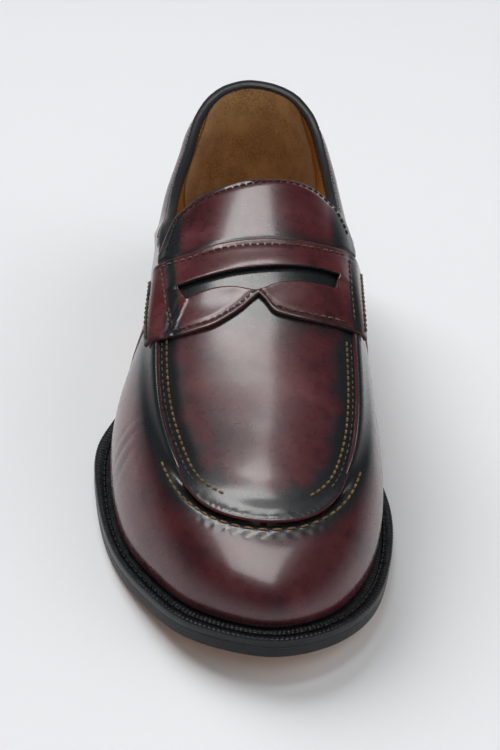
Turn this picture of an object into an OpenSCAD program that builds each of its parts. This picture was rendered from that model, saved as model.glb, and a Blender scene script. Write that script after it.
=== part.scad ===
// Right-foot penny loafer: welted leather sole, stacked heel, moccasin apron,
// saddle strap with a coin slot, tongue and bound collar.
// Millimetres. +Z up, toe towards -Y, heel towards +Y, lateral side at -X.
// The ground is z = 0 under the heel; the origin is the middle of the plan.

/* [Size] */
// Length of the outsole, toe to heel (EU 42 is about 300)
sole_length = 300; // [276:1:324]
// Height of the heel seat above the ground
heel_height = 21; // [16:1:26]

/* [Sole] */
// Thickness of the leather outsole
outsole_t = 5; // [4:0.5:6]
// Thickness of the welt and of the heel rand
welt_t = 3.5; // [2.5:0.5:4]
// Thickness of the insole
insole_t = 2.8; // [2:0.2:3.4]
// Thickness of the rubber top piece of the heel
top_piece_t = 6; // [5:1:8]
// Number of nails through the heel lifts
heel_nail_count = 7; // [5:1:9]

/* [Upper] */
// Thickness of the upper leather
leather_t = 1.5; // [1.2:0.1:1.6]
// Thickness of the linings
lining_t = 1; // [0.8:0.1:1]
// Depth of the collar binding down the outside
binding_w = 5.5; // [4:0.5:7]
// Height of the raised lip round the apron
apron_lip = 0.9; // [0.4:0.1:1.4]

/* [Strap] */
// Thickness of the saddle strap
strap_t = 1.6; // [1.2:0.1:2]
// How far the strap ends reach down the side walls, as a share of the wall
strap_wing = 0.2; // [0.15:0.01:0.3]

/* [Stitching] */
// Distance from one stitch to the next
stitch_pitch = 4.4; // [4:0.2:7]
// Thickness of the thread
thread = 0.7; // [0.5:0.1:0.9]

/* [Hidden] */

// Stations round the shoe: 0 is the back of the heel, 13 the tip of the toe,
// 1-12 the lateral side and 14-25 the medial side.
// edge x, y | feather x, y | rim x, y, z | lower handle out, up | upper handle out, down
ST = [
  [  1.0, 150.0,   1.0, 145.0,   1.5, 141.0, 93.0,  5.0, 22.0, 2.0, 22.0],
  [-19.0, 145.5, -16.0, 140.5, -14.5, 136.0, 90.0,  5.0, 21.0, 2.0, 21.0],
  [-33.0, 129.0, -28.0, 126.0, -24.5, 124.0, 83.0,  5.0, 18.0, 2.0, 18.0],
  [-38.0, 105.0, -33.0, 104.0, -29.5, 104.0, 74.0,  5.0, 16.0, 2.0, 14.0],
  [-40.0,  78.0, -35.0,  78.0, -34.5,  78.0, 68.0,  5.0, 14.0, 2.0, 12.0],
  [-40.0,  50.0, -36.0,  50.0, -36.5,  50.0, 68.0,  5.0, 14.0, 3.0, 12.0],
  [-43.0,  22.0, -38.5,  22.0, -38.3,  22.0, 75.0,  4.8, 14.0, 4.2, 13.0],
  [-49.2,  -8.0, -42.8,  -8.0, -38.5,  -8.0, 71.0,  6.0, 14.0, 2.2, 11.0],
  [-60.0, -38.0, -51.3, -38.0, -39.5, -38.0, 60.5,  6.0, 12.0, 7.5,  8.0],
  [-58.6, -67.0, -52.0, -67.0, -37.5, -65.0, 51.0,  4.5, 11.0,11.0,  5.0],
  [-51.5, -97.5, -46.5, -95.5, -32.0, -87.0, 45.0,  3.5, 11.0,12.0,  3.0],
  [-39.5, -121.0, -35.0, -117.5, -25.0, -103.0,  42.0,   3.0,  11.0,  12.0,   3.0],
  [-23.0, -140.5, -20.0, -134.5, -13.0, -112.5,  40.0,   3.0,  11.0,  12.5,   3.5],
  [  3.0, -150.0,   3.0, -143.5,   2.0, -116.0,  39.5,   3.0,  11.0,  13.0,   3.6],
  [ 25.0, -144.0,  23.0, -137.5,  17.0, -113.5,  40.0,   3.0,  11.0,  12.5,   3.5],
  [ 41.8, -127.5,  36.5, -122.5,  29.0, -104.0,  42.0,   3.0,  11.0,  12.0,   3.0],
  [ 51.2,-103.0,  45.0,-100.5,  36.0, -88.0, 45.5,  3.5, 11.0,11.0,  3.0],
  [ 55.2, -73.0,  48.0, -72.0,  39.5, -68.0, 52.0,  4.5, 11.0, 9.0,  6.0],
  [ 51.0, -42.0,  45.0, -41.0,  40.5, -38.0, 61.0,  6.0, 13.0, 8.0,  9.0],
  [ 43.0, -10.0,  39.5, -10.0,  39.5,  -8.0, 71.5,  8.0, 16.0, 7.5, 11.5],
  [ 37.5,  20.0,  35.5,  20.0,  40.0,  22.0,  75.0,   8.0,  17.0,   6.4,  13.0],
  [ 36.0,  50.0,  34.0,  50.0,  40.5,  50.0,  68.0,   7.5,  16.0,   4.0,  12.0],
  [ 37.5,  78.0,  34.5,  78.0,  39.5,  78.0,  68.0,   6.0,  15.0,   4.0,  12.0],
  [ 39.0, 105.0,  35.5, 104.0,  37.0, 104.0,  74.0,   5.0,  16.0,   3.6,  14.0],
  [ 35.0, 129.0,  32.5, 126.0,  32.0, 124.0,  83.5,   5.0,  18.0,   2.6,  18.0],
  [ 22.0, 145.5,  20.0, 140.5,  20.5, 136.5, 90.5,  5.0, 21.0, 2.0, 21.0]
];
// Underside of the outsole along the shoe (toe spring, ball, waist, heel seat)
ZB = [[-150, 8.6], [-130, 4.9], [-110, 2.1], [-90, 0.6], [-70, 0], [-45, 0], [-20, 1.6],
  [5, 6.5], [30, 13.2], [50, 19], [62, 21], [64, 21], [66, 21], [150, 21]];
// Height of the ridge over the instep
RZ = [[-116, 39.5], [-110, 43], [-100, 46.5], [-80, 52.5], [-60, 59], [-40, 66.5],
  [-20, 75.5], [0, 85.5], [15, 93], [25, 98]];
// Edges of the strap, its slot and the tongue: [across, station]
STRAP_TOP = [[-1.6, 6.87], [-1, 6.87], [-0.7, 6.91], [-0.4, 6.84], [0, 6.77], [0.4, 6.745],
  [0.7, 6.70], [1, 6.55], [1.6, 6.5]];
STRAP_LOW_L = [[-1.6, 8.1], [-1, 8.06], [-0.75, 8.07], [-0.59, 8.035], [-0.42, 7.97],
  [-0.28, 7.86], [-0.15, 7.73], [-0.05, 7.6], [0.01, 7.53]];
STRAP_LOW_R = [[0.01, 7.53], [0.07, 7.61], [0.15, 7.75], [0.31, 7.815], [0.52, 7.847],
  [0.75, 7.845], [1, 7.83], [1.6, 7.8]];
SLOT = [[-0.77, 7.36], [-0.47, 7.29], [-0.146, 7.19], [0.24, 7.13], [0.644, 7.09],
  [0.81, 7.08], [0.76, 7.31], [0.47, 7.315], [0.2, 7.354], [0.064, 7.447], [-0.03, 7.49],
  [-0.22, 7.43], [-0.435, 7.45], [-0.58, 7.51], [-0.69, 7.57]];
TONGUE_TOP = [[-0.98, 6.72], [-0.91, 6.45], [-0.86, 6.25], [-0.8, 6.12], [-0.7, 6.05],
  [-0.4, 5.98], [0, 5.84], [0.36, 5.76], [0.7, 5.72], [0.85, 5.8], [0.94, 6.0], [1.01, 6.35]];

NS = len(ST);
SC = sole_length / 300;
lift_t = (heel_height - top_piece_t) / 3;
z_feather = outsole_t + welt_t;
mid_x = 2.73;       // from the line the stations are set out on to the middle of the plan
seam_s = 7.45;      // where the vamp meets the quarters on the lateral side
breast_s = 4.45;    // where the heel breast meets the sole edge
breast_y = 65;
// Moves the plan sideways so that its middle is on the origin
MID = [1, 0, 1, 0, 1, 0, 0, 0, 0, 0, 0] * mid_x;

function unit(v) = v / max(1e-9, norm(v));
function cr(a, b, c, d, t) =
  0.5 * (2 * b + (c - a) * t + (2 * a - 5 * b + 4 * c - d) * t * t + (3 * b - a - 3 * c + d) * t * t * t);
function per(s) = let (i = floor(s), t = s - i)
  MID + cr(ST[(i - 1 + 2 * NS) % NS], ST[(i + 2 * NS) % NS], ST[(i + 1 + 2 * NS) % NS], ST[(i + 2 + 2 * NS) % NS], t);
function slope(T, i) = let (a = max(0, i - 1), b = min(len(T) - 1, i + 1)) (T[b][1] - T[a][1]) / (T[b][0] - T[a][0]);
function hz(T, y) = y <= T[0][0] ? T[0][1] : y >= T[len(T) - 1][0] ? T[len(T) - 1][1] :
  let (i = max([for (k = [0:len(T) - 2]) if (T[k][0] <= y) k]), h = T[i + 1][0] - T[i][0], t = (y - T[i][0]) / h)
  (2 * t * t * t - 3 * t * t + 1) * T[i][1] + (t * t * t - 2 * t * t + t) * h * slope(T, i)
  + (3 * t * t - 2 * t * t * t) * T[i + 1][1] + (t * t * t - t * t) * h * slope(T, i + 1);
function zb0(y) = hz(ZB, y / SC);
function zb(y) = zb0(y) * heel_height / 21;
function lift(y) = zb(y) - zb0(y) + (z_feather - 8.5);
function rz(y) = hz(RZ, y / SC) * SC + lift(y);
function step01(x) = let (t = min(1, max(0, x))) t * t * (3 - 2 * t);

// Plan points and outward plan normals: k = 0 sole edge, k = 2 feather line
function plan(s, k) = let (r = per(s)) [r[k], r[k + 1]] * SC;
function pnorm(s, k) = let (d = plan(s + 0.03, k) - plan(s - 0.03, k)) unit([d[1], -d[0]]);
function inset(s, k, d) = plan(s, k) - pnorm(s, k) * d;

// Side wall of the upper, t = 0 at the feather line and 1 at the rim
function wall(s, t) = let (r = per(s), n = pnorm(s, 2), f = plan(s, 2), g = [r[4], r[5]] * SC,
    zf = zb(f[1]) + z_feather, zg = r[6] * SC + lift(g[1]),
    b0 = [f[0], f[1], zf], b3 = [g[0], g[1], zg],
    b1 = b0 + [n[0] * r[7], n[1] * r[7], r[8]] * SC, b2 = b3 + [n[0] * r[9], n[1] * r[9], -r[10]] * SC)
  b0 * pow(1 - t, 3) + b1 * 3 * t * pow(1 - t, 2) + b2 * 3 * t * t * (1 - t) + b3 * pow(t, 3);
// Lasted margin: the leather turned in under the insole
function margin(s, d, z) = let (p = inset(s, 2, d)) [p[0], p[1], zb(p[1]) + z_feather + z];
// Top of the forefoot and instep, v = -1 at the lateral rim and 1 at the medial rim
function top(s, v) = let (a = wall(s, 1), b = wall(26 - s, 1), m = (a + b) / 2, rise = rz(m[1]) - m[2],
    e = 2.2 + 0.8 * min(1, max(0, (9.5 - s) / 2.5)), p = a + (b - a) * (1 + v) / 2)
  [p[0], p[1], p[2] + rise * (1 - pow(abs(v), e))];
// One run across the shoe: lateral wall, top, medial wall
function across(s, u) = abs(u) <= 1 ? top(s, u) : u < 0 ? wall(s, 2 + u) : wall(26 - s, 2 - u);

// Grids and shells
function gnorm(M, i, j) = let (n = len(M) - 1, m = len(M[0]) - 1,
    a = M[min(i + 1, n)][j] - M[max(i - 1, 0)][j], b = M[i][min(j + 1, m)] - M[i][max(j - 1, 0)]) unit(cross(a, b));
function off(M, d) = [for (i = [0:len(M) - 1]) [for (j = [0:len(M[0]) - 1]) M[i][j] + gnorm(M, i, j) * d]];
function offv(M, D) = [for (i = [0:len(M) - 1]) [for (j = [0:len(M[0]) - 1]) M[i][j] + gnorm(M, i, j) * D[j]]];
module shell(A, B) {
  n = len(A); m = len(A[0]); o = n * m;
  function a(i, j) = i * m + j;
  function b(i, j) = o + i * m + j;
  polyhedron(points = concat([for (r = A) for (p = r) p], [for (r = B) for (p = r) p]),
    faces = [
      for (i = [0:n - 2]) for (j = [0:m - 2]) each [
        [a(i, j), a(i, j + 1), a(i + 1, j + 1)], [a(i, j), a(i + 1, j + 1), a(i + 1, j)],
        [b(i, j), b(i + 1, j), b(i + 1, j + 1)], [b(i, j), b(i + 1, j + 1), b(i, j + 1)]],
      for (i = [0:n - 2]) each [
        [a(i, 0), a(i + 1, 0), b(i + 1, 0)], [a(i, 0), b(i + 1, 0), b(i, 0)],
        [a(i + 1, m - 1), a(i, m - 1), b(i, m - 1)], [a(i + 1, m - 1), b(i, m - 1), b(i + 1, m - 1)]],
      for (j = [0:m - 2]) each [
        [a(0, j + 1), a(0, j), b(0, j)], [a(0, j + 1), b(0, j), b(0, j + 1)],
        [a(n - 1, j), a(n - 1, j + 1), b(n - 1, j + 1)], [a(n - 1, j), b(n - 1, j + 1), b(n - 1, j)]]
    ], convexity = 10);
}
function steps(a, b, n) = [for (i = [0:n]) a + (b - a) * i / n];
// Wall with its lasted margin
function skin(s0, s1, n, t1, m) = [for (s = steps(s0, s1, n))
  concat([margin(s, 8, 0.1), margin(s, 2.6, 0.1), margin(s, 0.7, 0.35)], [for (t = steps(0.05, t1, m)) wall(s, t)])];
function side(s0, s1, n, t0, t1, m) = [for (s = steps(s0, s1, n)) [for (t = steps(t0, t1, m)) wall(s, t)]];

// Flat layers that follow the underside: outline k inset by d, from z1 to z2
module layer(k, d, z1, z2, s0 = 0.1, s1 = 12.9, n = 34, m = 4) {
  P = [for (s = steps(s0, s1, n)) [for (v = steps(0, 1, m)) inset(s, k, d) * (1 - v) + inset(26 - s, k, d) * v]];
  shell([for (r = P) [for (p = r) [p[0], p[1], zb(p[1]) + z2]]], [for (r = P) [for (p = r) [p[0], p[1], zb(p[1]) + z1]]]);
}
// A strip between the sole edge and a line inset from the feather
module strip(s0, s1, n, k1, d1, k2, d2, z1, z2) {
  P = [for (s = steps(s0, s1, n)) [inset(s, k1, d1), inset(s, k2, d2)]];
  shell([for (r = P) [for (p = [r[1], r[0]]) [p[0], p[1], zb(p[1]) + z1]]],
        [for (r = P) [for (p = [r[1], r[0]]) [p[0], p[1], zb(p[1]) + z2]]]);
}
// Stitches along a path of points
function lens(P) = [for (i = 0, a = 0; i < len(P); a = a + (i + 1 < len(P) ? norm(P[i + 1] - P[i]) : 0), i = i + 1) a];
module stitches(P, pitch = stitch_pitch, l = 0.62) {
  L = lens(P); n = floor(L[len(L) - 1] / pitch);
  for (k = [0:n - 1]) {
    d = (k + 0.5) * L[len(L) - 1] / n;
    i = max([for (q = [0:len(L) - 2]) if (L[q] <= d) q]);
    v = unit(P[i + 1] - P[i]);
    translate(P[i] + v * (d - L[i])) rotate([0, -asin(v[2]), atan2(v[1], v[0])])
      cube([pitch * l, thread, thread], center = true);
  }
}
// A point lifted off the run across the shoe
function lifted(s, u, h) = let (e = 0.01, a = across(s + e, u) - across(s - e, u), b = across(s, u + e) - across(s, u - e))
  across(s, u) + unit(cross(a, b)) * h;
function lifted_wall(s, t, h) = let (e = 0.01, a = wall(s + e, t) - wall(s - e, t), b = wall(s, min(1, t + e)) - wall(s, t - e))
  wall(s, t) + unit(cross(a, b)) * h;

// ---- sole ----
module outsole() color([0.2, 0.2, 0.21]) layer(0, 0, 0, outsole_t, n = 44);
module welt() color([0.1, 0.1, 0.11]) strip(breast_s + 0.02, 26 - breast_s - 0.02, 60, 0, 0, 2, 6, outsole_t + 0.12, z_feather);
module heel_rand() color([0.1, 0.1, 0.11]) strip(-breast_s, breast_s, 28, 0, 0, 2, 6, outsole_t + 0.12, z_feather);
module cork_filler() color([0.72, 0.53, 0.33]) layer(2, 6.5, outsole_t + 0.25, z_feather - 0.1, 0.5, 12.5, 44);
module shank() color([0.7, 0.71, 0.73]) {
  P = [for (y = steps(14, 98, 14)) [for (x = [-6.5, 0, 6.5]) [(x + mid_x) * SC, y * SC]]];
  shell([for (r = P) [for (p = r) [p[0], p[1], zb(p[1]) + z_feather + 0.05]]],
        [for (r = P) [for (p = r) [p[0], p[1], zb(p[1]) + z_feather + 1.25]]]);
}
module insole() color([0.78, 0.6, 0.42]) layer(2, 4.8, z_feather + 1.8, z_feather + 1.8 + insole_t, 0.3, 12.75);
module insole_rib() color([0.85, 0.8, 0.68]) strip(breast_s + 0.2, 25.8 - breast_s, 44, 2, 8.6, 2, 10.4, z_feather + 0.05, z_feather + 1.7);
module sock_lining() color([0.75, 0.48, 0.24]) layer(2, 5.0, z_feather + 1.9 + insole_t, z_feather + 2.7 + insole_t, 0.35, 12.7);
module heel_plan(d) {
  a = inset(-breast_s, 0, d); b = inset(breast_s, 0, d);
  polygon(concat([for (s = steps(-breast_s, breast_s, 36)) inset(s, 0, d)],
    [for (v = [0.2, 0.4, 0.6, 0.8]) [b[0] + (a[0] - b[0]) * v, (breast_y + 5 * 4 * v * (1 - v)) * SC]]));
}
module nail_row(d, z1, z2) for (k = [0:heel_nail_count - 1]) {
  p = inset(-3.4 + 6.8 * k / (heel_nail_count - 1), 0, 12);
  translate([p[0], p[1], z1]) cylinder(d = d, h = z2 - z1, $fn = 24);
}
module heel_lift(i) difference() {
  translate([0, 0, top_piece_t + (i - 1) * lift_t]) linear_extrude(lift_t) heel_plan(1.1 - 0.3 * i);
  nail_row(2.1, top_piece_t - 1, heel_height + 1);
}
module heel_lift_1() color([0.17, 0.16, 0.16]) heel_lift(1);
module heel_lift_2() color([0.2, 0.19, 0.19]) heel_lift(2);
module heel_lift_3() color([0.17, 0.16, 0.16]) heel_lift(3);
module heel_top_piece() color([0.08, 0.08, 0.085]) linear_extrude(top_piece_t) heel_plan(1.1);
module heel_nails() color([0.72, 0.58, 0.3]) nail_row(2, top_piece_t, heel_height);

// ---- upper ----
wine = [0.34, 0.11, 0.15];
module vamp() color(wine) { M = skin(seam_s + 0.01, 25.99 - seam_s, 46, 0.995, 9); shell(M, off(M, -leather_t)); }
LIP_V = [-0.965, -0.93, -0.86, -0.7, -0.5, -0.25, 0, 0.25, 0.5, 0.7, 0.86, 0.93, 0.965];
module apron() color([0.38, 0.13, 0.17]) {
  M = [for (q = steps(0, 1, 26)) [for (v = LIP_V) let (s0 = hz(STRAP_TOP, v) + 0.02) top(s0 + (12.86 - s0) * q, v)]];
  A = [for (i = [0:len(M) - 1]) [for (j = [0:len(LIP_V) - 1])
    let (q = i / (len(M) - 1), on = step01((q - 0.24) / 0.08), av = abs(LIP_V[j]))
    M[i][j] + gnorm(M, i, j) * apron_lip * on * (av > 0.92 ? 1 : av > 0.85 ? 0.25 : 0)]];
  shell(A, off(M, -leather_t + 0.1));
}
function strap_grid(n, m) = [for (q = steps(0, 1, n)) [for (j = steps(-1, 1, m))
  let (u = abs(j) < 0.004 ? 0.01 : j * (1 + strap_wing * (1 - 0.6 * q)),
       lo = u < 0.01 ? hz(STRAP_LOW_L, u) : hz(STRAP_LOW_R, u), hi = hz(STRAP_TOP, u)) across(hi + (lo - hi) * q, u)]];
module saddle_strap() color([0.36, 0.12, 0.16]) difference() {
  M = strap_grid(5, 52);
  shell(off(M, 0.3 + strap_t), off(M, 0.3));
  translate([0, 0, 60 * SC]) linear_extrude(40 * SC) polygon([for (p = SLOT) let (c = across(p[1], p[0])) [c[0], c[1]]]);
}
module quarter_lateral() color(wine) { M = skin(0.03, seam_s - 0.01, 28, 0.995, 8); shell(M, off(M, -leather_t)); }
module quarter_medial() color(wine) { M = skin(26.01 - seam_s, 25.97, 28, 0.995, 8); shell(M, off(M, -leather_t)); }
module back_strap() color([0.3, 0.1, 0.13]) { M = side(-0.9, 0.9, 12, 0.05, 0.9, 9); shell(off(M, 0.2 + leather_t * 0.8), off(M, 0.2)); }
BIND_OUT = [[0.95, -binding_w], [0.95, 0], [0.65, 0.75], [-0.4, 1.1], [-3.5, 1.1], [-4.7, 0.75], [-5.1, 0], [-5.1, 0.5 - binding_w]];
BIND_IN = [[0.15, -binding_w], [0.15, -0.05], [0.1, 0.1], [-0.5, 0.15], [-3.4, 0.15], [-4.15, 0.1], [-4.25, -0.05], [-4.25, 0.5 - binding_w]];
function bind(s, C) = let (p = wall(s, 1), m = unit(p - wall(s, 0.93)), d = unit(wall(s + 0.05, 1) - wall(s - 0.05, 1)),
    n = unit(cross(d, m))) [for (c = C) p + n * c[0] + m * c[1]];
module topline_binding() color([0.16, 0.16, 0.17]) {
  S = steps(-6.1, 6.33, 58);
  shell([for (s = S) [for (c = [len(BIND_OUT) - 1:-1:0]) bind(s, BIND_IN)[c]]],
        [for (s = S) [for (c = [len(BIND_OUT) - 1:-1:0]) bind(s, BIND_OUT)[c]]]);
}
// ---- inside ----
lin_out = leather_t + 1.4;
module lining(M) shell(off(M, -lin_out), off(M, -lin_out - lining_t));
module vamp_lining() color([0.82, 0.7, 0.52]) lining(side(seam_s + 0.01, 25.99 - seam_s, 44, 0.06, 0.93, 8));
module apron_lining() color([0.82, 0.7, 0.52]) {
  M = [for (q = steps(0, 1, 22)) [for (v = steps(-0.86, 0.86, 8)) let (s0 = hz(STRAP_TOP, v) + 0.04) top(s0 + (12.2 - s0) * q, v)]];
  shell(off(M, -leather_t - 0.1), off(M, -leather_t - 0.1 - lining_t));
}
module quarter_lining_lateral() color([0.72, 0.44, 0.18]) lining(side(2.15, seam_s - 0.01, 20, 0.06, 0.975, 7));
module quarter_lining_medial() color([0.72, 0.44, 0.18]) lining(side(26.01 - seam_s, 23.85, 20, 0.06, 0.975, 7));
module heel_grip() color([0.4, 0.28, 0.18]) lining(side(-2.12, 2.12, 20, 0.06, 0.975, 7));
module toe_puff() color([0.88, 0.86, 0.8]) { M = side(9.6, 16.4, 26, 0.06, 0.9, 6); shell(off(M, -leather_t - 0.2), off(M, -leather_t - 1.2)); }
module heel_counter() color([0.6, 0.48, 0.34]) { M = side(-3.6, 3.6, 28, 0.06, 0.78, 5); shell(off(M, -leather_t - 0.2), off(M, -leather_t - 1.2)); }

// ---- tongue: bends at the strap's top edge ----
TU = [-0.98, -0.96, -0.93, -0.88, -0.78, -0.62, -0.42, -0.2, 0, 0.2, 0.42, 0.62, 0.78, 0.88, 0.93, 0.97, 1.01];
function tongue_grid(w, n, g) = [for (q = steps(0, 1, n)) [for (u = TU * w)
  let (hi = hz(TONGUE_TOP, u) + (1 - w) * 0.7, lo = hz(STRAP_TOP, u) - g) across(hi + (lo - hi) * q, u)]];
TLIFT = [for (u = TU) 0.3 + 1.7 * step01((abs(u) - 0.72) / 0.2)];
module tongue() color([0.34, 0.11, 0.15]) { M = tongue_grid(1, 8, 0.045); shell(offv(M, TLIFT), offv(M, [for (h = TLIFT) h - leather_t])); }
module tongue_lining() color([0.76, 0.58, 0.36]) {
  M = tongue_grid(0.76, 7, 0.06);
  shell(off(M, -leather_t), off(M, -leather_t - lining_t));
}
module tongue_stitching() color([0.12, 0.08, 0.07]) stitches([for (u = steps(-0.9, 0.9, 60))
  lifted(hz(TONGUE_TOP, u) + 0.09 + 0.05 * step01((abs(u) - 0.75) / 0.1), u, 0.45 + 1.7 * step01((abs(u) - 0.72) / 0.2))]);

// ---- stitching ----
module welt_stitching() color([0.1, 0.1, 0.1]) stitches([for (s = steps(breast_s + 0.15, 25.85 - breast_s, 160))
  let (p = (plan(s, 0) * 0.52 + plan(s, 2) * 0.48)) [p[0], p[1], zb(p[1]) + z_feather + 0.15]]);
module apron_stitching() color([0.6, 0.44, 0.2]) {
  stitches([for (q = steps(-1, 1, 90)) let (s = 12.55 - 4.25 * abs(q), u = q < 0 ? -1 : 1) lifted(s, u * (0.9 - 0.12 * pow((s - 8) / 4.6, 4)), 0.2)]);
  stitches([for (s = steps(8.25, 17.75, 120)) lifted_wall(s, 0.9, 0.2)]);
}
module strap_stitching() color([0.12, 0.08, 0.07]) {
  h = strap_t + 0.45;
  stitches([for (u = steps(-0.98, 0.98, 60)) lifted(hz(STRAP_TOP, u) + 0.09, u, h)]);
  stitches([for (u = steps(-0.9, -0.04, 40)) lifted(hz(STRAP_LOW_L, u) - 0.09, u, h)]);
  stitches([for (u = steps(0.05, 0.9, 40)) lifted(hz(STRAP_LOW_R, u) - 0.09, u, h)]);
  stitches([for (q = steps(0, 1, 20)) lifted(7.0 + 0.9 * q, -0.93 + 0.1 * q, h)]);
  stitches([for (q = steps(0, 1, 20)) lifted(6.85 + 0.82 * q, 0.93, h)]);
}
module topline_stitching() color([0.14, 0.13, 0.13]) stitches([for (s = steps(-5.9, 5.9, 120)) let (p = bind(s, [[1.1, 1 - binding_w]])) p[0]]);

outsole();
welt();
heel_rand();
cork_filler();
shank();
insole();
insole_rib();
sock_lining();
heel_lift_1();
heel_lift_2();
heel_lift_3();
heel_top_piece();
heel_nails();
vamp();
apron();
saddle_strap();
quarter_lateral();
quarter_medial();
back_strap();
topline_binding();
vamp_lining();
apron_lining();
quarter_lining_lateral();
quarter_lining_medial();
heel_grip();
toe_puff();
heel_counter();
tongue();
tongue_lining();
tongue_stitching();
welt_stitching();
apron_stitching();
strap_stitching();
topline_stitching();
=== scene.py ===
import bpy, bmesh, math
import numpy as np
from mathutils import Matrix, Vector, kdtree
from mathutils.geometry import delaunay_2d_cdt


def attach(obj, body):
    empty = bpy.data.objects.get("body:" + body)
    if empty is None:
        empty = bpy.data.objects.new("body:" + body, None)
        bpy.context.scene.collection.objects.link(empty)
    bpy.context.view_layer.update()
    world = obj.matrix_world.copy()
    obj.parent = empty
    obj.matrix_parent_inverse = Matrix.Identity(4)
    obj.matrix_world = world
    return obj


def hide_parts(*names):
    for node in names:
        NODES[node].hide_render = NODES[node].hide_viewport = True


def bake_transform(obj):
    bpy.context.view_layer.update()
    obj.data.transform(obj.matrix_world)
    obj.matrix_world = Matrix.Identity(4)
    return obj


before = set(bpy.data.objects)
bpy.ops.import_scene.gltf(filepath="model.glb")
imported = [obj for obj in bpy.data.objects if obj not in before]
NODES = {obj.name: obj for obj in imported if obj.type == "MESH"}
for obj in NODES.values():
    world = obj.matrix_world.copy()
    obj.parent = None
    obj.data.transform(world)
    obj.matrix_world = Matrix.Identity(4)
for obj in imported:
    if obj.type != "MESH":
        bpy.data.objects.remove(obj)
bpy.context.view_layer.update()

# ------------------------------------------------------------------ shape
# Stations of the shape: edge x y | feather x y | rim x y z | handles
ST = np.array([
    (1.0, 150.0, 1.0, 145.0, 1.5, 141.0, 93.0, 5.0, 22.0, 2.0, 22.0),
    (-19.0, 145.5, -16.0, 140.5, -14.5, 136.0, 90.0, 5.0, 21.0, 2.0, 21.0),
    (-33.0, 129.0, -28.0, 126.0, -24.5, 124.0, 83.0, 5.0, 18.0, 2.0, 18.0),
    (-38.0, 105.0, -33.0, 104.0, -29.5, 104.0, 74.0, 5.0, 16.0, 2.0, 14.0),
    (-40.0, 78.0, -35.0, 78.0, -34.5, 78.0, 68.0, 5.0, 14.0, 2.0, 12.0),
    (-40.0, 50.0, -36.0, 50.0, -36.5, 50.0, 68.0, 5.0, 14.0, 3.0, 12.0),
    (-43.0, 22.0, -38.5, 22.0, -38.3, 22.0, 75.0, 4.8, 14.0, 4.2, 13.0),
    (-49.2, -8.0, -42.8, -8.0, -38.5, -8.0, 71.0, 6.0, 14.0, 2.2, 11.0),
    (-60.0, -38.0, -51.3, -38.0, -39.5, -38.0, 60.5, 6.0, 12.0, 7.5, 8.0),
    (-58.6, -67.0, -52.0, -67.0, -37.5, -65.0, 51.0, 4.5, 11.0,11.0, 5.0),
    (-51.5, -97.5, -46.5, -95.5, -32.0, -87.0, 45.0, 3.5, 11.0,12.0, 3.0),
    (-39.5, -121.0, -35.0, -117.5, -25.0, -103.0, 42.0, 3.0, 11.0, 12.0, 3.0),
    (-23.0, -140.5, -20.0, -134.5, -13.0, -112.5, 40.0, 3.0, 11.0, 12.5, 3.5),
    (3.0, -150.0, 3.0, -143.5, 2.0, -116.0, 39.5, 3.0, 11.0, 13.0, 3.6),
    (25.0, -144.0, 23.0, -137.5, 17.0, -113.5, 40.0, 3.0, 11.0, 12.5, 3.5),
    (41.8, -127.5, 36.5, -122.5, 29.0, -104.0, 42.0, 3.0, 11.0, 12.0, 3.0),
    (51.2,-103.0, 45.0,-100.5, 36.0, -88.0, 45.5, 3.5, 11.0,11.0, 3.0),
    (55.2, -73.0, 48.0, -72.0, 39.5, -68.0, 52.0, 4.5, 11.0, 9.0, 6.0),
    (51.0, -42.0, 45.0, -41.0, 40.5, -38.0, 61.0, 6.0, 13.0, 8.0, 9.0),
    (43.0, -10.0, 39.5, -10.0, 39.5, -8.0, 71.5, 8.0, 16.0, 7.5, 11.5),
    (37.5, 20.0, 35.5, 20.0, 40.0, 22.0, 75.0, 8.0, 17.0, 6.4, 13.0),
    (36.0, 50.0, 34.0, 50.0, 40.5, 50.0, 68.0, 7.5, 16.0, 4.0, 12.0),
    (37.5, 78.0, 34.5, 78.0, 39.5, 78.0, 68.0, 6.0, 15.0, 4.0, 12.0),
    (39.0, 105.0, 35.5, 104.0, 37.0, 104.0, 74.0, 5.0, 16.0, 3.6, 14.0),
    (35.0, 129.0, 32.5, 126.0, 32.0, 124.0, 83.5, 5.0, 18.0, 2.6, 18.0),
    (22.0, 145.5, 20.0, 140.5, 20.5, 136.5, 90.5, 5.0, 21.0, 2.0, 21.0),
])
NS = len(ST)
MX = 2.73                # from the stations' line to the middle of the plan
MID = np.array([1.0, 0, 1, 0, 1, 0, 0, 0, 0, 0, 0]) * MX
ZB = [(-150, 8.6), (-130, 4.9), (-110, 2.1), (-90, 0.6), (-70, 0), (-45, 0), (-20, 1.6), (5, 6.5), (30, 13.2),
      (50, 19), (62, 21), (64, 21), (66, 21), (150, 21)]
RZ = [(-116, 39.5), (-110, 43), (-100, 46.5), (-80, 52.5), (-60, 59), (-40, 66.5), (-20, 75.5), (0, 85.5), (15, 93), (25, 98)]
STRAP_TOP = [(-1.6, 6.87), (-1, 6.87), (-0.7, 6.91), (-0.4, 6.84), (0, 6.77), (0.4, 6.745), (0.7, 6.70), (1, 6.55), (1.6, 6.5)]
STRAP_LOW_L = [(-1.6, 8.1), (-1, 8.06), (-0.75, 8.07), (-0.59, 8.035), (-0.42, 7.97), (-0.28, 7.86), (-0.15, 7.73), (-0.05, 7.6), (0.01, 7.53)]
STRAP_LOW_R = [(0.01, 7.53), (0.07, 7.61), (0.15, 7.75), (0.31, 7.815), (0.52, 7.847), (0.75, 7.845), (1, 7.83), (1.6, 7.8)]
SLOT = [(-0.77, 7.36), (-0.47, 7.29), (-0.146, 7.19), (0.24, 7.13), (0.644, 7.09), (0.81, 7.08), (0.76, 7.31), (0.47, 7.315),
        (0.2, 7.354), (0.064, 7.447), (-0.03, 7.49), (-0.22, 7.43), (-0.435, 7.45), (-0.58, 7.51), (-0.69, 7.57)]
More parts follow.
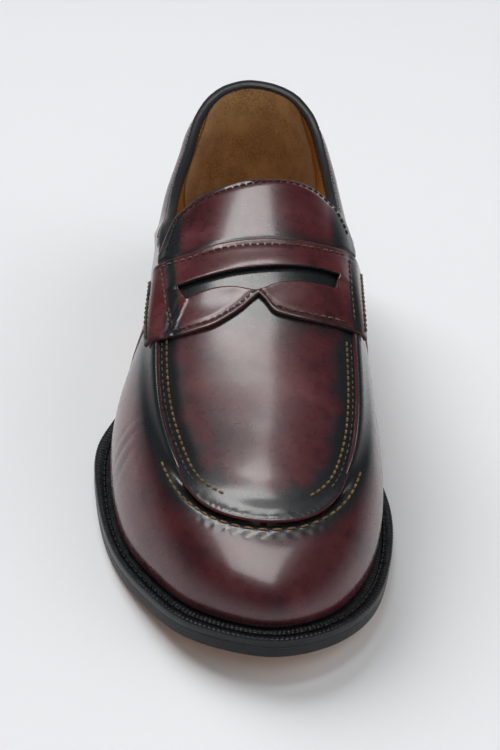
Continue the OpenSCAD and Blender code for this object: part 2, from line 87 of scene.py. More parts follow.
TONGUE_TOP = [(-0.98, 6.72), (-0.91, 6.45), (-0.86, 6.25), (-0.8, 6.12), (-0.7, 6.05), (-0.4, 5.98), (0, 5.84), (0.36, 5.76),
              (0.7, 5.72), (0.85, 5.8), (0.94, 6.0), (1.01, 6.35)]
OUTSOLE_T, WELT_T, HEEL_H = 5.0, 3.5, 21.0
ZF = OUTSOLE_T + WELT_T
LEATHER = 1.5


def per(s):
    s = np.asarray(s, float)
    i = np.floor(s).astype(int)
    t = (s - i)[..., None]
    a, b, c, d = (ST[(i + k) % NS] for k in (-1, 0, 1, 2))
    return MID + 0.5 * (2 * b + (c - a) * t + (2 * a - 5 * b + 4 * c - d) * t * t + (3 * b - a - 3 * c + d) * t ** 3)


def hz(T, y):
    T = np.asarray(T, float)
    X, Y = T[:, 0], T[:, 1]
    n = len(X)
    m = np.array([(Y[min(n - 1, i + 1)] - Y[max(0, i - 1)]) / (X[min(n - 1, i + 1)] - X[max(0, i - 1)]) for i in range(n)])
    y = np.clip(np.asarray(y, float), X[0], X[-1])
    i = np.clip(np.searchsorted(X, y, side="right") - 1, 0, n - 2)
    h = X[i + 1] - X[i]
    t = (y - X[i]) / h
    return ((2 * t ** 3 - 3 * t ** 2 + 1) * Y[i] + (t ** 3 - 2 * t ** 2 + t) * h * m[i]
            + (3 * t ** 2 - 2 * t ** 3) * Y[i + 1] + (t ** 3 - t ** 2) * h * m[i + 1])


zb = lambda y: hz(ZB, y)
rz = lambda y: hz(RZ, y)
unit = lambda v: v / np.maximum(1e-9, np.linalg.norm(v, axis=-1, keepdims=True))
sm = lambda x: np.clip(x, 0, 1) ** 2 * (3 - 2 * np.clip(x, 0, 1))


def plan(s, k):
    return per(s)[..., k:k + 2]


def pnorm(s, k):
    d = plan(np.asarray(s) + 0.03, k) - plan(np.asarray(s) - 0.03, k)
    return unit(np.stack([d[..., 1], -d[..., 0]], -1))


def inset(s, k, d):
    return plan(s, k) - pnorm(s, k) * np.asarray(d)[..., None]


def wall(s, t):
    s, t = np.broadcast_arrays(np.asarray(s, float), np.asarray(t, float))
    r = per(s)
    n = pnorm(s, 2)
    z0 = zb(r[..., 3]) + ZF
    b0 = np.stack([r[..., 2], r[..., 3], z0], -1)
    b3 = r[..., 4:7]
    o = np.zeros_like(z0)
    b1 = b0 + np.stack([n[..., 0] * r[..., 7], n[..., 1] * r[..., 7], r[..., 8]], -1)
    b2 = b3 + np.stack([n[..., 0] * r[..., 9], n[..., 1] * r[..., 9], -r[..., 10]], -1)
    t = t[..., None]
    return b0 * (1 - t) ** 3 + 3 * b1 * t * (1 - t) ** 2 + 3 * b2 * t * t * (1 - t) + b3 * t ** 3


def top(s, v):
    s, v = np.broadcast_arrays(np.asarray(s, float), np.asarray(v, float))
    a, b = per(s)[..., 4:7], per(26 - s)[..., 4:7]
    mid = (a + b) / 2
    rise = rz(mid[..., 1]) - mid[..., 2]
    e = 2.2 + 0.8 * np.clip((9.5 - s) / 2.5, 0, 1)
    p = a + (b - a) * ((1 + v) / 2)[..., None]
    p[..., 2] += rise * (1 - np.abs(v) ** e)
    return p


def across(s, u):
    s, u = np.broadcast_arrays(np.asarray(s, float), np.asarray(u, float))
    w = wall(np.where(u < 0, s, 26 - s), np.clip(2 - np.abs(u), 0, 1))
    t = top(s, np.clip(u, -1, 1))
    return np.where((np.abs(u) <= 1)[..., None], t, w)


def wtop(s, t):
    """The side wall carried on over the rim: t past 1 runs in over the top, 50 mm for each 1."""
    s, t = np.broadcast_arrays(np.asarray(s, float), np.asarray(t, float))
    sc = np.where(s <= 13, s, 26 - s)
    sc = np.clip(sc, 0, 12.9)
    half = np.linalg.norm(per(sc)[..., 4:6] - per(26 - sc)[..., 4:6], axis=-1) / 2
    v = -1 + np.maximum(t - 1, 0) * 50 / np.maximum(half, 4)
    v = np.where(s <= 13, v, -v)
    return np.where((t <= 1)[..., None], wall(s, np.minimum(t, 1)), top(sc, np.clip(v, -1, 1)))


def normal_of(f, a, b, e=0.006):
    da = f(a + e, b) - f(a - e, b)
    db = f(a, b + e) - f(a, b - e)
    return unit(np.cross(da, db))


# ------------------------------------------------------------------ mesh helpers
def mesh_from(name, V, F, attrs=None, mat=None, smooth=True):
    """V in millimetres, F a list of index tuples."""
    me = bpy.data.meshes.new(name)
    me.from_pydata((np.asarray(V) / 1000.0).tolist(), [], F)
    me.update()
    for key, val in (attrs or {}).items():
        a = me.attributes.new(key, "FLOAT", "POINT")
        a.data.foreach_set("value", np.asarray(val, np.float32))
    if smooth:
        me.polygons.foreach_set("use_smooth", np.ones(len(me.polygons), bool))
    ob = bpy.data.objects.new(name, me)
    bpy.context.scene.collection.objects.link(ob)
    if mat:
        me.materials.append(mat)
    return ob


def resample(P, step, closed=True):
    P = np.asarray(P, float)
    Q = np.vstack([P, P[:1]]) if closed else P
    L = np.r_[0, np.cumsum(np.linalg.norm(np.diff(Q, axis=0), axis=1))]
    n = max(8, int(round(L[-1] / step)))
    x = np.linspace(0, L[-1], n + 1)
    if closed:
        x = x[:-1]
    return np.stack([np.interp(x, L, Q[:, k]) for k in range(Q.shape[1])], 1)


def corners_kept(P, step, closed=True):
    """Resamples each straight piece on its own, so that corners stay sharp."""
    P = [np.asarray(p, float) for p in P]
    out = []
    m = len(P) if closed else len(P) - 1
    for i in range(m):
        a, b = P[i], P[(i + 1) % len(P)]
        n = max(1, int(math.ceil(np.linalg.norm(b - a) / step)))
        out += [a + (b - a) * k / n for k in range(n)]
    if not closed:
        out.append(P[-1])
    return np.array(out)


def inside(P, poly):
    x, y = P[:, 0], P[:, 1]
    c = np.zeros(len(P), bool)
    n = len(poly)
    for i in range(n):
        x0, y0 = poly[i]
        x1, y1 = poly[(i + 1) % n]
        if y0 == y1:
            continue
        c ^= ((y0 > y) != (y1 > y)) & (x < (x1 - x0) * (y - y0) / (y1 - y0) + x0)
    return c


def nearest(P, B):
    """Distance from each point of P to the nearest of B."""
    P, B = np.asarray(P, float), np.asarray(B, float)
    kd = kdtree.KDTree(len(B))
    for i, b in enumerate(B):
        kd.insert(b if len(b) == 3 else (b[0], b[1], 0), i)
    kd.balance()
    d = np.empty(len(P)); j = np.empty(len(P), int)
    for i, p in enumerate(P):
        _, k, r = kd.find(p if len(p) == 3 else (p[0], p[1], 0))
        d[i], j[i] = r, k
    return d, j


def region(outline, holes=(), res=1.0, edge=0.5, rings=(0.22, 0.5, 0.9)):
    """Triangles of a flat region with fine rings along its edges."""
    loops = [np.asarray(outline)] + [np.asarray(h) for h in holes]
    area = lambda p: 0.5 * np.sum(p[:, 0] * np.roll(p[:, 1], -1) - np.roll(p[:, 0], -1) * p[:, 1])
    loops = [l if (area(l) > 0) == (i == 0) else l[::-1] for i, l in enumerate(loops)]
    B = np.vstack(loops)
    edges, k = [], 0
    for l in loops:
        edges += [(k + i, k + (i + 1) % len(l)) for i in range(len(l))]
        k += len(l)
    dense = np.vstack([resample(l, 0.12) for l in loops])
    pts = []
    for l in loops:
        tn = np.roll(l, -1, 0) - np.roll(l, 1, 0)
        n = unit(np.stack([-tn[:, 1], tn[:, 0]], 1))
        for r in rings:
            q = l + n * r
            d, _ = nearest(q, dense)
            q = q[d > r * 0.85]
            pts.append(q[:: 1 if r < 0.6 else 1])
    lo, hi = B.min(0), B.max(0)
    gx, gy = np.meshgrid(np.arange(lo[0], hi[0], res), np.arange(lo[1], hi[1], res * 0.866))
    gx = gx + (np.arange(gx.shape[0]) % 2)[:, None] * res / 2
    g = np.stack([gx.ravel(), gy.ravel()], 1)
    ok = inside(g, loops[0])
    for h in loops[1:]:
        ok &= ~inside(g, h)
    g = g[ok]
    d, _ = nearest(g, dense)
    pts.append(g[d > rings[-1] + 0.45 * min(res, 1.0)])
    P = np.vstack([B] + pts)
    v, _, f, *_ = delaunay_2d_cdt([Vector(p) for p in P], edges, [], 0, 1e-5)
    V = np.array([tuple(q) for q in v])
    F = np.array(f)
    c = V[F].mean(1)
    ok = inside(c, loops[0])
    for h in loops[1:]:
        ok &= ~inside(c, h)
    F = F[ok]
    a = V[F]
    cr = (a[:, 1, 0] - a[:, 0, 0]) * (a[:, 2, 1] - a[:, 0, 1]) - (a[:, 1, 1] - a[:, 0, 1]) * (a[:, 2, 0] - a[:, 0, 0])
    F = F[np.abs(cr) > 1e-7]
    cr = cr[np.abs(cr) > 1e-7]
    F[cr < 0] = F[cr < 0][:, ::-1]
    used = np.unique(F)
    remap = -np.ones(len(V), int)
    remap[used] = np.arange(len(used))
    return V[used], remap[F]


def relaxed(P, N, F, w, its):
    """Evens out a base surface where w is 1, and takes its normals from the triangles there."""
    n = len(P)
    E = np.vstack([F[:, [0, 1]], F[:, [1, 2]], F[:, [2, 0]]])
    E = np.vstack([E, E[:, ::-1]])
    deg = np.bincount(E[:, 0], minlength=n)[:, None]
    Q = P.copy()
    for _ in range(its):
        s = np.stack([np.bincount(E[:, 0], weights=Q[E[:, 1], k], minlength=n) for k in range(3)], 1) / deg
        Q[:, 2] += (w * (s[:, 2] - Q[:, 2])) * 0.6
    fn = np.cross(Q[F[:, 1]] - Q[F[:, 0]], Q[F[:, 2]] - Q[F[:, 0]])
    M = np.stack([sum(np.bincount(F[:, i], weights=fn[:, k], minlength=n) for i in range(3)) for k in range(3)], 1)
    M = unit(M)
    M = np.where((M * N).sum(1)[:, None] < 0, -M, M)
    return Q, unit(N * (1 - w[:, None]) + M * w[:, None])


def leather_patch(name, f, to_ab, outline, holes=(), res=1.0, base=0.0, thick=1.5, radius=0.6, lift=None, mat=None,
                  edgek=None, flip=False, edge_step=0.5, back=True, relax=None, cutk=None):
    """A piece of leather over the surface f(a, b). The outline is in flat millimetres, and to_ab maps them to a, b.
    The outside edge is rounded; lift(a, b, P, d) adds to its height."""
    V2, F = region(outline, holes, res=res, edge=edge_step)
    a, b = to_ab(V2)
    P = f(a, b)
    N = normal_of(f, a, b)
    if relax is not None:
        P, N = relaxed(P, N, F, relax(a, b, P), 14)
    loops = [np.asarray(outline)] + [np.asarray(h) for h in holes]
    rim = []
    for l in loops:
        q = resample(l, 0.15)
        rim.append(f(*to_ab(q)))
    d, _ = nearest(P, np.vstack(rim))
    k = np.clip(1 - d / radius, 0, 1)
    h = base + thick - radius * (1 - np.sqrt(np.clip(1 - k * k, 0, 1)))
    low = np.full(len(P), float(base))
    if lift is not None:
        g = lift(a, b, P, d)
        h = h + g
        low = low + g
    O = P + N * h[:, None]
    I = P + N * low[:, None]
    n = len(P)
    e = {}
    for t in F:
        for i in range(3):
            x, y = int(t[i]), int(t[(i + 1) % 3])
            if (y, x) in e:
                del e[(y, x)]
            else:
                e[(x, y)] = True
    # the domain's turn decides which way the faces look
    t0 = F[len(F) // 2]
    fn = np.cross(O[t0[1]] - O[t0[0]], O[t0[2]] - O[t0[0]])
    out = bool(np.dot(fn, N[t0[0]]) > 0)
    faces = [tuple(t) if out else tuple(t[::-1]) for t in F.tolist()]
    if back:
        faces += [tuple(n + x for x in (t[::-1] if out else t)) for t in F.tolist()]
    bd = sorted({x for p in e for x in p})
    side = {x: 2 * n + i for i, x in enumerate(bd)}
    extra_top = O[bd]
    extra_bot = I[bd]
    m = len(bd)
    for (x, y) in e:
        q = (side[x], side[y], side[y] + m, side[x] + m)
        faces.append(tuple(reversed(q)) if out else q)
    V = np.vstack([O, I, extra_top, extra_bot])
    dd = np.r_[d, d, np.zeros(2 * m)]
    k0 = np.clip(1 - d / 0.45, 0, 1) ** 0.7 * 0.9
    cut = np.r_[k0, np.zeros(n), np.ones(2 * m)]
    if cutk is not None:
        cut = cut * cutk(np.r_[a, a, a[bd], a[bd]], np.r_[b, b, b[bd], b[bd]], V, dd)
    aa = np.r_[a, a, a[bd], a[bd]]
    bb = np.r_[b, b, b[bd], b[bd]]
    shade = edgek(aa, bb, V, dd) if edgek else np.clip(1 - dd / 6, 0, 1)
    ob = mesh_from(name, V, faces, {"edge": shade, "cut": cut, "dist": dd}, mat)
    ob["n_outer"] = n
    return ob


def thread_run(P, N, pitch, radius=0.36, fill=0.74, sink=0.25, pitch2=None, ring=6, segs=7, fracs=None):
    """Stitches along a line: each one comes out of its hole, lies on the leather and goes back in. Returns V, F and shade."""
    P, N = np.asarray(P, float), np.asarray(N, float)
    L = np.r_[0, np.cumsum(np.linalg.norm(np.diff(P, axis=0), axis=1))]
    at = lambda x: np.stack([np.interp(x, L, P[:, k]) for k in range(3)], -1)
    nat = lambda x: unit(np.stack([np.interp(x, L, N[:, k]) for k in range(3)], -1))
    starts, x = [], 0.0
    pit = pitch if callable(pitch) else (lambda q: pitch)
    if fracs is not None:
        starts = [(f0 * L[-1], (f1 - f0) * L[-1]) for f0, f1 in fracs]
    while fracs is None and x < L[-1]:
        p = pit(x / L[-1])
        if x + p > L[-1]:
            break
        starts.append((x, p))
        x += p
    V, F, S = [], [], []
    for x0, p in starts:
        w = p * fill
        xs = x0 + (p - w) / 2 + np.linspace(0, 1, segs) * w
        q, n = at(xs), nat(xs)
        u = np.linspace(-1, 1, segs)
        hh = radius * (0.75 - 1.5 * np.abs(u) ** 4) - sink * (np.abs(u) > 0.95)
        q = q + n * hh[:, None]
        tg = unit(np.gradient(q, axis=0))
        bi = unit(np.cross(tg, n))
        nn = np.cross(bi, tg)
        rad = radius * (1 - 0.25 * np.abs(u) ** 2)
        k = len(V)
        for i in range(segs):
            for j in range(ring):
                th = 2 * math.pi * j / ring
                V.append(q[i] + (bi[i] * math.cos(th) * 1.12 + nn[i] * math.sin(th)) * rad[i])
                S.append(abs(u[i]))
        for i in range(segs - 1):
            for j in range(ring):
                a, b = k + i * ring + j, k + i * ring + (j + 1) % ring
                F.append((a, b, b + ring, a + ring))
        F.append(tuple(range(k, k + ring))[::-1])
        F.append(tuple(range(k + (segs - 1) * ring, k + segs * ring)))
    return V, F, S, [at(np.array(x0)) for x0, _ in starts] + ([at(np.array(starts[-1][0] + starts[-1][1]))] if starts else [])


def threads(name, runs, mat, body="root", replaces=()):
    V, F, S = [], [], []
    for v, f, s, _ in runs:
        k = len(V)
        V += list(v)
        F += [tuple(i + k for i in t) for t in f]
        S += list(s)
    ob = mesh_from(name, V, F, {"end": S}, mat)
    if replaces:
        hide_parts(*replaces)
    if body:
        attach(ob, body)
    return ob


# ------------------------------------------------------------------ materials
def nodes_of(name):
    m = bpy.data.materials.new(name)
    m.use_nodes = True
    nt = m.node_tree
    nt.nodes.clear()
    out = nt.nodes.new("ShaderNodeOutputMaterial")
    b = nt.nodes.new("ShaderNodeBsdfPrincipled")
    nt.links.new(b.outputs[0], out.inputs[0])
    return m, nt, b


def add(nt, kind, **kw):
    n = nt.nodes.new(kind)
    for k, v in kw.items():
        if k.startswith("i_"):
            key = k[2:]
            n.inputs[int(key) if key.isdigit() else key.replace("_", " ")].default_value = v
        else:
            setattr(n, k, v)
    return n


def noise(nt, scale, detail=4.0, rough=0.55, vec=None, dist=0.0):
    n = add(nt, "ShaderNodeTexNoise")
    n.inputs["Scale"].default_value = scale
    n.inputs["Detail"].default_value = detail
    n.inputs["Roughness"].default_value = rough
    n.inputs["Distortion"].default_value = dist
    if vec is None:
        tc = nt.nodes.get("TC") or add(nt, "ShaderNodeTexCoord", name="TC")
        vec = tc.outputs["Object"]
    nt.links.new(vec, n.inputs["Vector"])
    return n.outputs["Fac"]


def scaled(nt, s):
    tc = nt.nodes.get("TC") or add(nt, "ShaderNodeTexCoord", name="TC")
    m = add(nt, "ShaderNodeMapping")
    m.inputs["Scale"].default_value = s
    nt.links.new(tc.outputs["Object"], m.inputs["Vector"])
    return m.outputs["Vector"]


def attr(nt, name):
    return add(nt, "ShaderNodeAttribute", attribute_name=name).outputs["Fac"]


def math_(nt, op, a, b=None, c=None, clamp=False):
    n = add(nt, "ShaderNodeMath", operation=op, use_clamp=clamp)
    for i, x in enumerate((a, b, c)):
        if x is None:
            continue
        if isinstance(x, (int, float)):
            n.inputs[i].default_value = x
        else:
            nt.links.new(x, n.inputs[i])
    return n.outputs[0]


def ramp(nt, fac, stops, interp="EASE"):
    n = add(nt, "ShaderNodeValToRGB")
    n.color_ramp.interpolation = interp
    el = n.color_ramp.elements
    while len(el) < len(stops):
        el.new(0.5)
    for e, (p, c) in zip(el, stops):
        e.position = p
        e.color = (c[0], c[1], c[2], 1) if not isinstance(c, (int, float)) else (c, c, c, 1)
    nt.links.new(fac, n.inputs[0])
    return n.outputs[0]


def mix(nt, fac, a, b, blend="MIX"):
    n = add(nt, "ShaderNodeMix", data_type="RGBA", blend_type=blend)
    if isinstance(fac, (int, float)):
        n.inputs[0].default_value = fac
    else:
        nt.links.new(fac, n.inputs[0])
    for i, x in ((6, a), (7, b)):
        if isinstance(x, tuple):
            n.inputs[i].default_value = (x[0], x[1], x[2], 1)
        else:
            nt.links.new(x, n.inputs[i])
    return n.outputs[2]


def bumps(nt, b, layers):
    """layers: (height socket, strength, distance in metres)"""
    last = None
    for h, st, di in layers:
        n = add(nt, "ShaderNodeBump")
        n.inputs["Strength"].default_value = st
        n.inputs["Distance"].default_value = di
        nt.links.new(h, n.inputs["Height"])
        if last is not None:
            nt.links.new(last, n.inputs["Normal"])
        last = n.outputs[0]
    nt.links.new(last, b.inputs["Normal"])


WINE = (0.075, 0.0125, 0.0165)
WINE_D = (0.036, 0.006, 0.0085)
WINE_L = (0.125, 0.030, 0.036)
SLATE = (0.0105, 0.0125, 0.0145)


def polished(name, wine=WINE, dark=WINE_D, light=WINE_L, slate=SLATE, rough=0.28, coat=0.52, cut=(0.15, 0.016, 0.02), mott=0.5):
    """Burgundy calf, brushed lighter in the middle of a panel and burnished towards slate black at its edges."""
    m, nt, b = nodes_of(name)
    e = attr(nt, "edge")
    big = noise(nt, 55, 3, 0.55)
    mid = noise(nt, 260, 4, 0.6)
    streak = noise(nt, 1.0, 3, 0.6, vec=scaled(nt, (900, 160, 300)))
    body = ramp(nt, math_(nt, "ADD", math_(nt, "MULTIPLY", big, 0.82), math_(nt, "MULTIPLY", mid, 0.18)),
                [(0.32, dark), (0.5, wine), (0.7, light)])
    wob = math_(nt, "MULTIPLY", math_(nt, "SUBTRACT", math_(nt, "ADD", math_(nt, "MULTIPLY", mid, 0.6), math_(nt, "MULTIPLY", streak, 0.4)), 0.5), mott)
    k = math_(nt, "ADD", e, math_(nt, "MULTIPLY", wob, ramp_band(nt, e)))
    f = ramp(nt, k, [(0.22, 0.0), (0.78, 1.0)])
    col = mix(nt, f, body, slate)
    c = attr(nt, "cut")
    col = mix(nt, math_(nt, "MULTIPLY", c, 0.85), col, cut)
    nt.links.new(col, b.inputs["Base Color"])
    r = math_(nt, "ADD", math_(nt, "MULTIPLY", mid, 0.12), rough - 0.06)
    nt.links.new(math_(nt, "ADD", r, math_(nt, "MULTIPLY", c, 0.2)), b.inputs["Roughness"])
    b.inputs["Coat Weight"].default_value = coat
    b.inputs["Coat Roughness"].default_value = 0.125
    b.inputs["Specular IOR Level"].default_value = 0.5
    vor = add(nt, "ShaderNodeTexVoronoi")
    vor.inputs["Scale"].default_value = 1500
    nt.links.new(nt.nodes["TC"].outputs["Object"], vor.inputs["Vector"])
    bumps(nt, b, [(noise(nt, 120, 2, 0.4), 0.2, 0.0003), (noise(nt, 900, 2, 0.5), 0.14, 0.00005), (vor.outputs["Distance"], 0.12, 0.00003)])
    return m


def ramp_band(nt, e):
    """1 in the middle of the shaded band, 0 where it is fully plain or fully dark."""
    return math_(nt, "MULTIPLY", math_(nt, "MULTIPLY", e, math_(nt, "SUBTRACT", 1.0, e)), 4.0, clamp=True)


def plain(name, c1, c2, scale, rough, bump=((900, 0.3, 0.00008),), coat=0.0, spec=0.5, stretch=None, sheen=0.0):
    m, nt, b = nodes_of(name)
    n = noise(nt, scale, 4, 0.6) if stretch is None else noise(nt, scale, 4, 0.6, vec=scaled(nt, stretch))
    nt.links.new(ramp(nt, n, [(0.3, c1), (0.7, c2)]), b.inputs["Base Color"])
    nt.links.new(math_(nt, "ADD", math_(nt, "MULTIPLY", n, 0.12), rough - 0.06), b.inputs["Roughness"])
    b.inputs["Coat Weight"].default_value = coat
    b.inputs["Coat Roughness"].default_value = 0.25
    b.inputs["Specular IOR Level"].default_value = spec
    if sheen:
        b.inputs["Sheen Weight"].default_value = sheen
        b.inputs["Sheen Roughness"].default_value = 0.5
    bumps(nt, b, [(noise(nt, s, 3, 0.6), st, di) for s, st, di in bump])
    return m


M_UP = polished("burgundy_calf")
M_STRAP = polished("burgundy_strap", wine=(0.080, 0.0125, 0.0155), rough=0.28, coat=0.52, cut=(0.085, 0.013, 0.015))
M_BIND = polished("binding_calf", wine=(0.016, 0.012, 0.014), dark=(0.010, 0.010, 0.012), light=(0.026, 0.014, 0.017), slate=(0.013, 0.0155, 0.019),
                  rough=0.46, coat=0.08, cut=(0.02, 0.02, 0.02))
M_WELT = plain("welt_leather", (0.003, 0.0035, 0.0045), (0.010, 0.011, 0.013), 400, 0.36, ((1400, 0.5, 0.00015), (300, 0.3, 0.0003)), spec=0.4)
M_THREAD_D = plain("waxed_thread_dark", (0.010, 0.007, 0.006), (0.035, 0.024, 0.018), 1500, 0.5, ((3000, 0.5, 0.00008),))
M_THREAD_O = plain("waxed_thread_ochre", (0.10, 0.055, 0.018), (0.26, 0.155, 0.055), 700, 0.55, ((3000, 0.5, 0.00008),))
M_THREAD_S = plain("waxed_thread_strap", (0.018, 0.012, 0.010), (0.17, 0.12, 0.08), 420, 0.45, ((3000, 0.5, 0.00008),))
M_SUEDE = plain("brown_suede", (0.30, 0.14, 0.040), (0.60, 0.36, 0.15), 60, 0.85, ((1600, 0.7, 0.0003), (220, 0.3, 0.0006)), spec=0.2, sheen=0.3)
_nt = M_SUEDE.node_tree
_b = _nt.nodes["Principled BSDF"]
for _l in [l for l in _nt.links if l.to_socket == _b.inputs["Base Color"]]:
    _src = _l.from_socket
    _nt.links.remove(_l)
_nap = noise(_nt, 1150, 4, 0.75)
_brush = noise(_nt, 1.0, 3, 0.6, vec=scaled(_nt, (75, 75, 40)))
_m1 = mix(_nt, ramp(_nt, _nap, [(0.34, 0.0), (0.66, 1.0)]), _src, (0.66, 0.41, 0.17))
_nt.links.new(mix(_nt, ramp(_nt, _brush, [(0.36, 0.35), (0.62, 0.0)]), _m1, (0.26, 0.125, 0.036)), _b.inputs["Base Color"])
M_TAN = plain("tan_lining_leather", (0.44, 0.17, 0.03), (0.62, 0.28, 0.06), 45, 0.42, ((1100, 0.3, 0.00008),))
M_CANVAS = plain("cotton_drill", (0.45, 0.34, 0.2), (0.6, 0.48, 0.31), 500, 0.85, ((2500, 0.6, 0.0002),), spec=0.2)
M_CORK = plain("cork", (0.22, 0.12, 0.05), (0.5, 0.32, 0.16), 700, 0.8, ((900, 0.6, 0.0004),), spec=0.2)
M_STEEL = plain("spring_steel", (0.45, 0.45, 0.47), (0.62, 0.62, 0.64), 300, 0.35, ((1200, 0.2, 0.00005),), stretch=(300, 5, 300))
M_STEEL.node_tree.nodes["Principled BSDF"].inputs["Metallic"].default_value = 1.0
M_BRASS = plain("brass", (0.55, 0.36, 0.12), (0.75, 0.53, 0.22), 400, 0.35, ((1200, 0.2, 0.00005),))
M_BRASS.node_tree.nodes["Principled BSDF"].inputs["Metallic"].default_value = 1.0
M_INSOLE = plain("insole_leather", (0.42, 0.25, 0.12), (0.58, 0.38, 0.2), 60, 0.7, ((900, 0.4, 0.0001),))
M_FELT = plain("stiffener_felt", (0.6, 0.57, 0.5), (0.75, 0.72, 0.64), 500, 0.9, ((1500, 0.6, 0.0002),), spec=0.2)
M_BOARD = plain("leather_board", (0.26, 0.17, 0.09), (0.4, 0.28, 0.16), 300, 0.75, ((1200, 0.5, 0.0002),))
M_RUBBER = plain("black_rubber", (0.008, 0.008, 0.009), (0.02, 0.02, 0.021), 300, 0.62, ((1600, 0.4, 0.0001),))
M_SOLE_BASE = None


def sole_material():
    """Sole leather: tan and scuffed underneath, dyed charcoal on its edge with fine cut lines."""
    m, nt, b = nodes_of("sole_leather")
    e = attr(nt, "edge")
    under = ramp(nt, noise(nt, 90, 4, 0.6), [(0.3, (0.44, 0.17, 0.04)), (0.7, (0.62, 0.28, 0.08))])
    lines = noise(nt, 1.0, 3, 0.6, vec=scaled(nt, (60, 60, 3200)))
    edge = ramp(nt, lines, [(0.35, (0.005, 0.006, 0.0075)), (0.65, (0.022, 0.024, 0.028))])
    nt.links.new(mix(nt, e, under, edge), b.inputs["Base Color"])
    nt.links.new(math_(nt, "ADD", math_(nt, "MULTIPLY", lines, 0.2), 0.3), b.inputs["Roughness"])
    b.inputs["Specular IOR Level"].default_value = 0.4
    bumps(nt, b, [(lines, 0.9, 0.0005), (noise(nt, 1200, 3, 0.6), 0.3, 0.00008)])
    return m


def stack_material():
    """Stacked heel lifts, dyed black and burnished, with fine layer lines."""
    m, nt, b = nodes_of("stacked_leather")
    lines = noise(nt, 1.0, 3, 0.6, vec=scaled(nt, (50, 50, 2600)))
    nt.links.new(ramp(nt, lines, [(0.35, (0.010, 0.010, 0.010)), (0.7, (0.034, 0.032, 0.031))]), b.inputs["Base Color"])
    nt.links.new(math_(nt, "ADD", math_(nt, "MULTIPLY", lines, 0.2), 0.28), b.inputs["Roughness"])
    b.inputs["Coat Weight"].default_value = 0.15
    b.inputs["Coat Roughness"].default_value = 0.25
    bumps(nt, b, [(lines, 0.5, 0.0002), (noise(nt, 1200, 3, 0.6), 0.3, 0.00008)])
    return m


M_SOLE = sole_material()
M_STACK = stack_material()

for name, mat in {
    "cork_filler": M_CORK, "shank": M_STEEL, "insole": M_INSOLE, "insole_rib": M_CANVAS, "sock_lining": M_TAN,
    "heel_nails": M_BRASS, "vamp_lining": M_CANVAS, "apron_lining": M_CANVAS, "toe_puff": M_FELT, "heel_counter": M_BOARD,
    "heel_lift_1": M_STACK, "heel_lift_2": M_STACK, "heel_lift_3": M_STACK, "heel_top_piece": M_RUBBER,
    "outsole": M_SOLE, "welt": M_WELT, "heel_rand": M_WELT, "vamp": M_UP, "apron": M_UP, "saddle_strap": M_STRAP,
    "quarter_lateral": M_UP, "quarter_medial": M_UP, "back_strap": M_UP, "topline_binding": M_BIND,
    "quarter_lining_lateral": M_TAN, "quarter_lining_medial": M_TAN, "heel_grip": M_SUEDE, "tongue": M_UP,
    "tongue_lining": M_TAN, "tongue_stitching": M_THREAD_D, "welt_stitching": M_THREAD_D, "apron_stitching": M_THREAD_O,
    "strap_stitching": M_THREAD_S, "topline_stitching": M_THREAD_D,
}.items():
    o = NODES[name]
    o.data.materials.clear() if not o.material_slots else None
    if not o.material_slots:
        o.data.materials.append(mat)
    for sl in o.material_slots:
        sl.material = mat

# ------------------------------------------------------------------ rim line and seam weights
RS = np.linspace(6.6, 19.4, 2600)
RIM = per(RS)[:, 4:7]
RIMN = -pnorm(RS, 4)                       # inward in plan


def rim_near(P):
    """Signed plan distance to the rim (inward positive) and the station of the nearest rim point."""
    d, j = nearest(np.c_[P[:, 0], P[:, 1]], RIM[:, :2])
    across_ = ((P[:, :2] - RIM[j, :2]) * RIMN[j]).sum(1)
    return np.where(d < 6, across_, d * np.sign(across_)), RS[j]


def toe_w(s):
    """1 along the toe, where the apron lies over the vamp; 0 along the sides, where the vamp lies over the apron."""
    c = np.abs(np.asarray(s, float) - 13.0)
    return 1 - sm((c - 1.9) / 1.2)


FLAP = 2.6            # width of the vamp's turned edge over the apron on the sides
bell = lambda x, c, w: np.exp(-((x - c) / w) ** 2)


def top_inv(x, y):
    """Station and across value of a plan point on the top."""
    tab = np.linspace(5.4, 12.995, 800)
    ym = (per(tab)[:, 5] + per(26 - tab)[:, 5]) / 2
    s = np.interp(-y, -ym, tab)
    g = lambda q: (lambda a, b: (b[:, 0] - a[:, 0]) * (y - a[:, 1]) - (b[:, 1] - a[:, 1]) * (x - a[:, 0]))(per(q)[:, 4:6], per(26 - q)[:, 4:6])
    for _ in range(12):
        e = 0.002
        g0, g1 = g(s), g(s + e)
        dg = (g1 - g0) / e
        s = np.clip(s - np.clip(g0 / np.where(np.abs(dg) < 1e-6, 1e-6, dg), -0.3, 0.3), 5.4, 12.99)
    a, b = per(s)[:, 4:6], per(26 - s)[:, 4:6]
    v = 2 * ((x - a[:, 0]) * (b[:, 0] - a[:, 0]) + (y - a[:, 1]) * (b[:, 1] - a[:, 1])) / ((b - a) ** 2).sum(1) - 1
    return s, v


def ztop(x, y):
    x, y = np.asarray(x, float).ravel(), np.asarray(y, float).ravel()
    s, v = top_inv(x, y)
    z = top(s, np.clip(v, -1, 1))[:, 2]
    dr, sr = rim_near(np.c_[x, y])
    zo = wall(sr, np.clip(1 - np.abs(dr) / 42, 0, 1))[:, 2]
    return np.where(dr < 0, zo, z)


def fplan(a, b):
    a, b = np.asarray(a, float), np.asarray(b, float)
    return np.stack([a, b, ztop(a, b).reshape(a.shape)], -1)


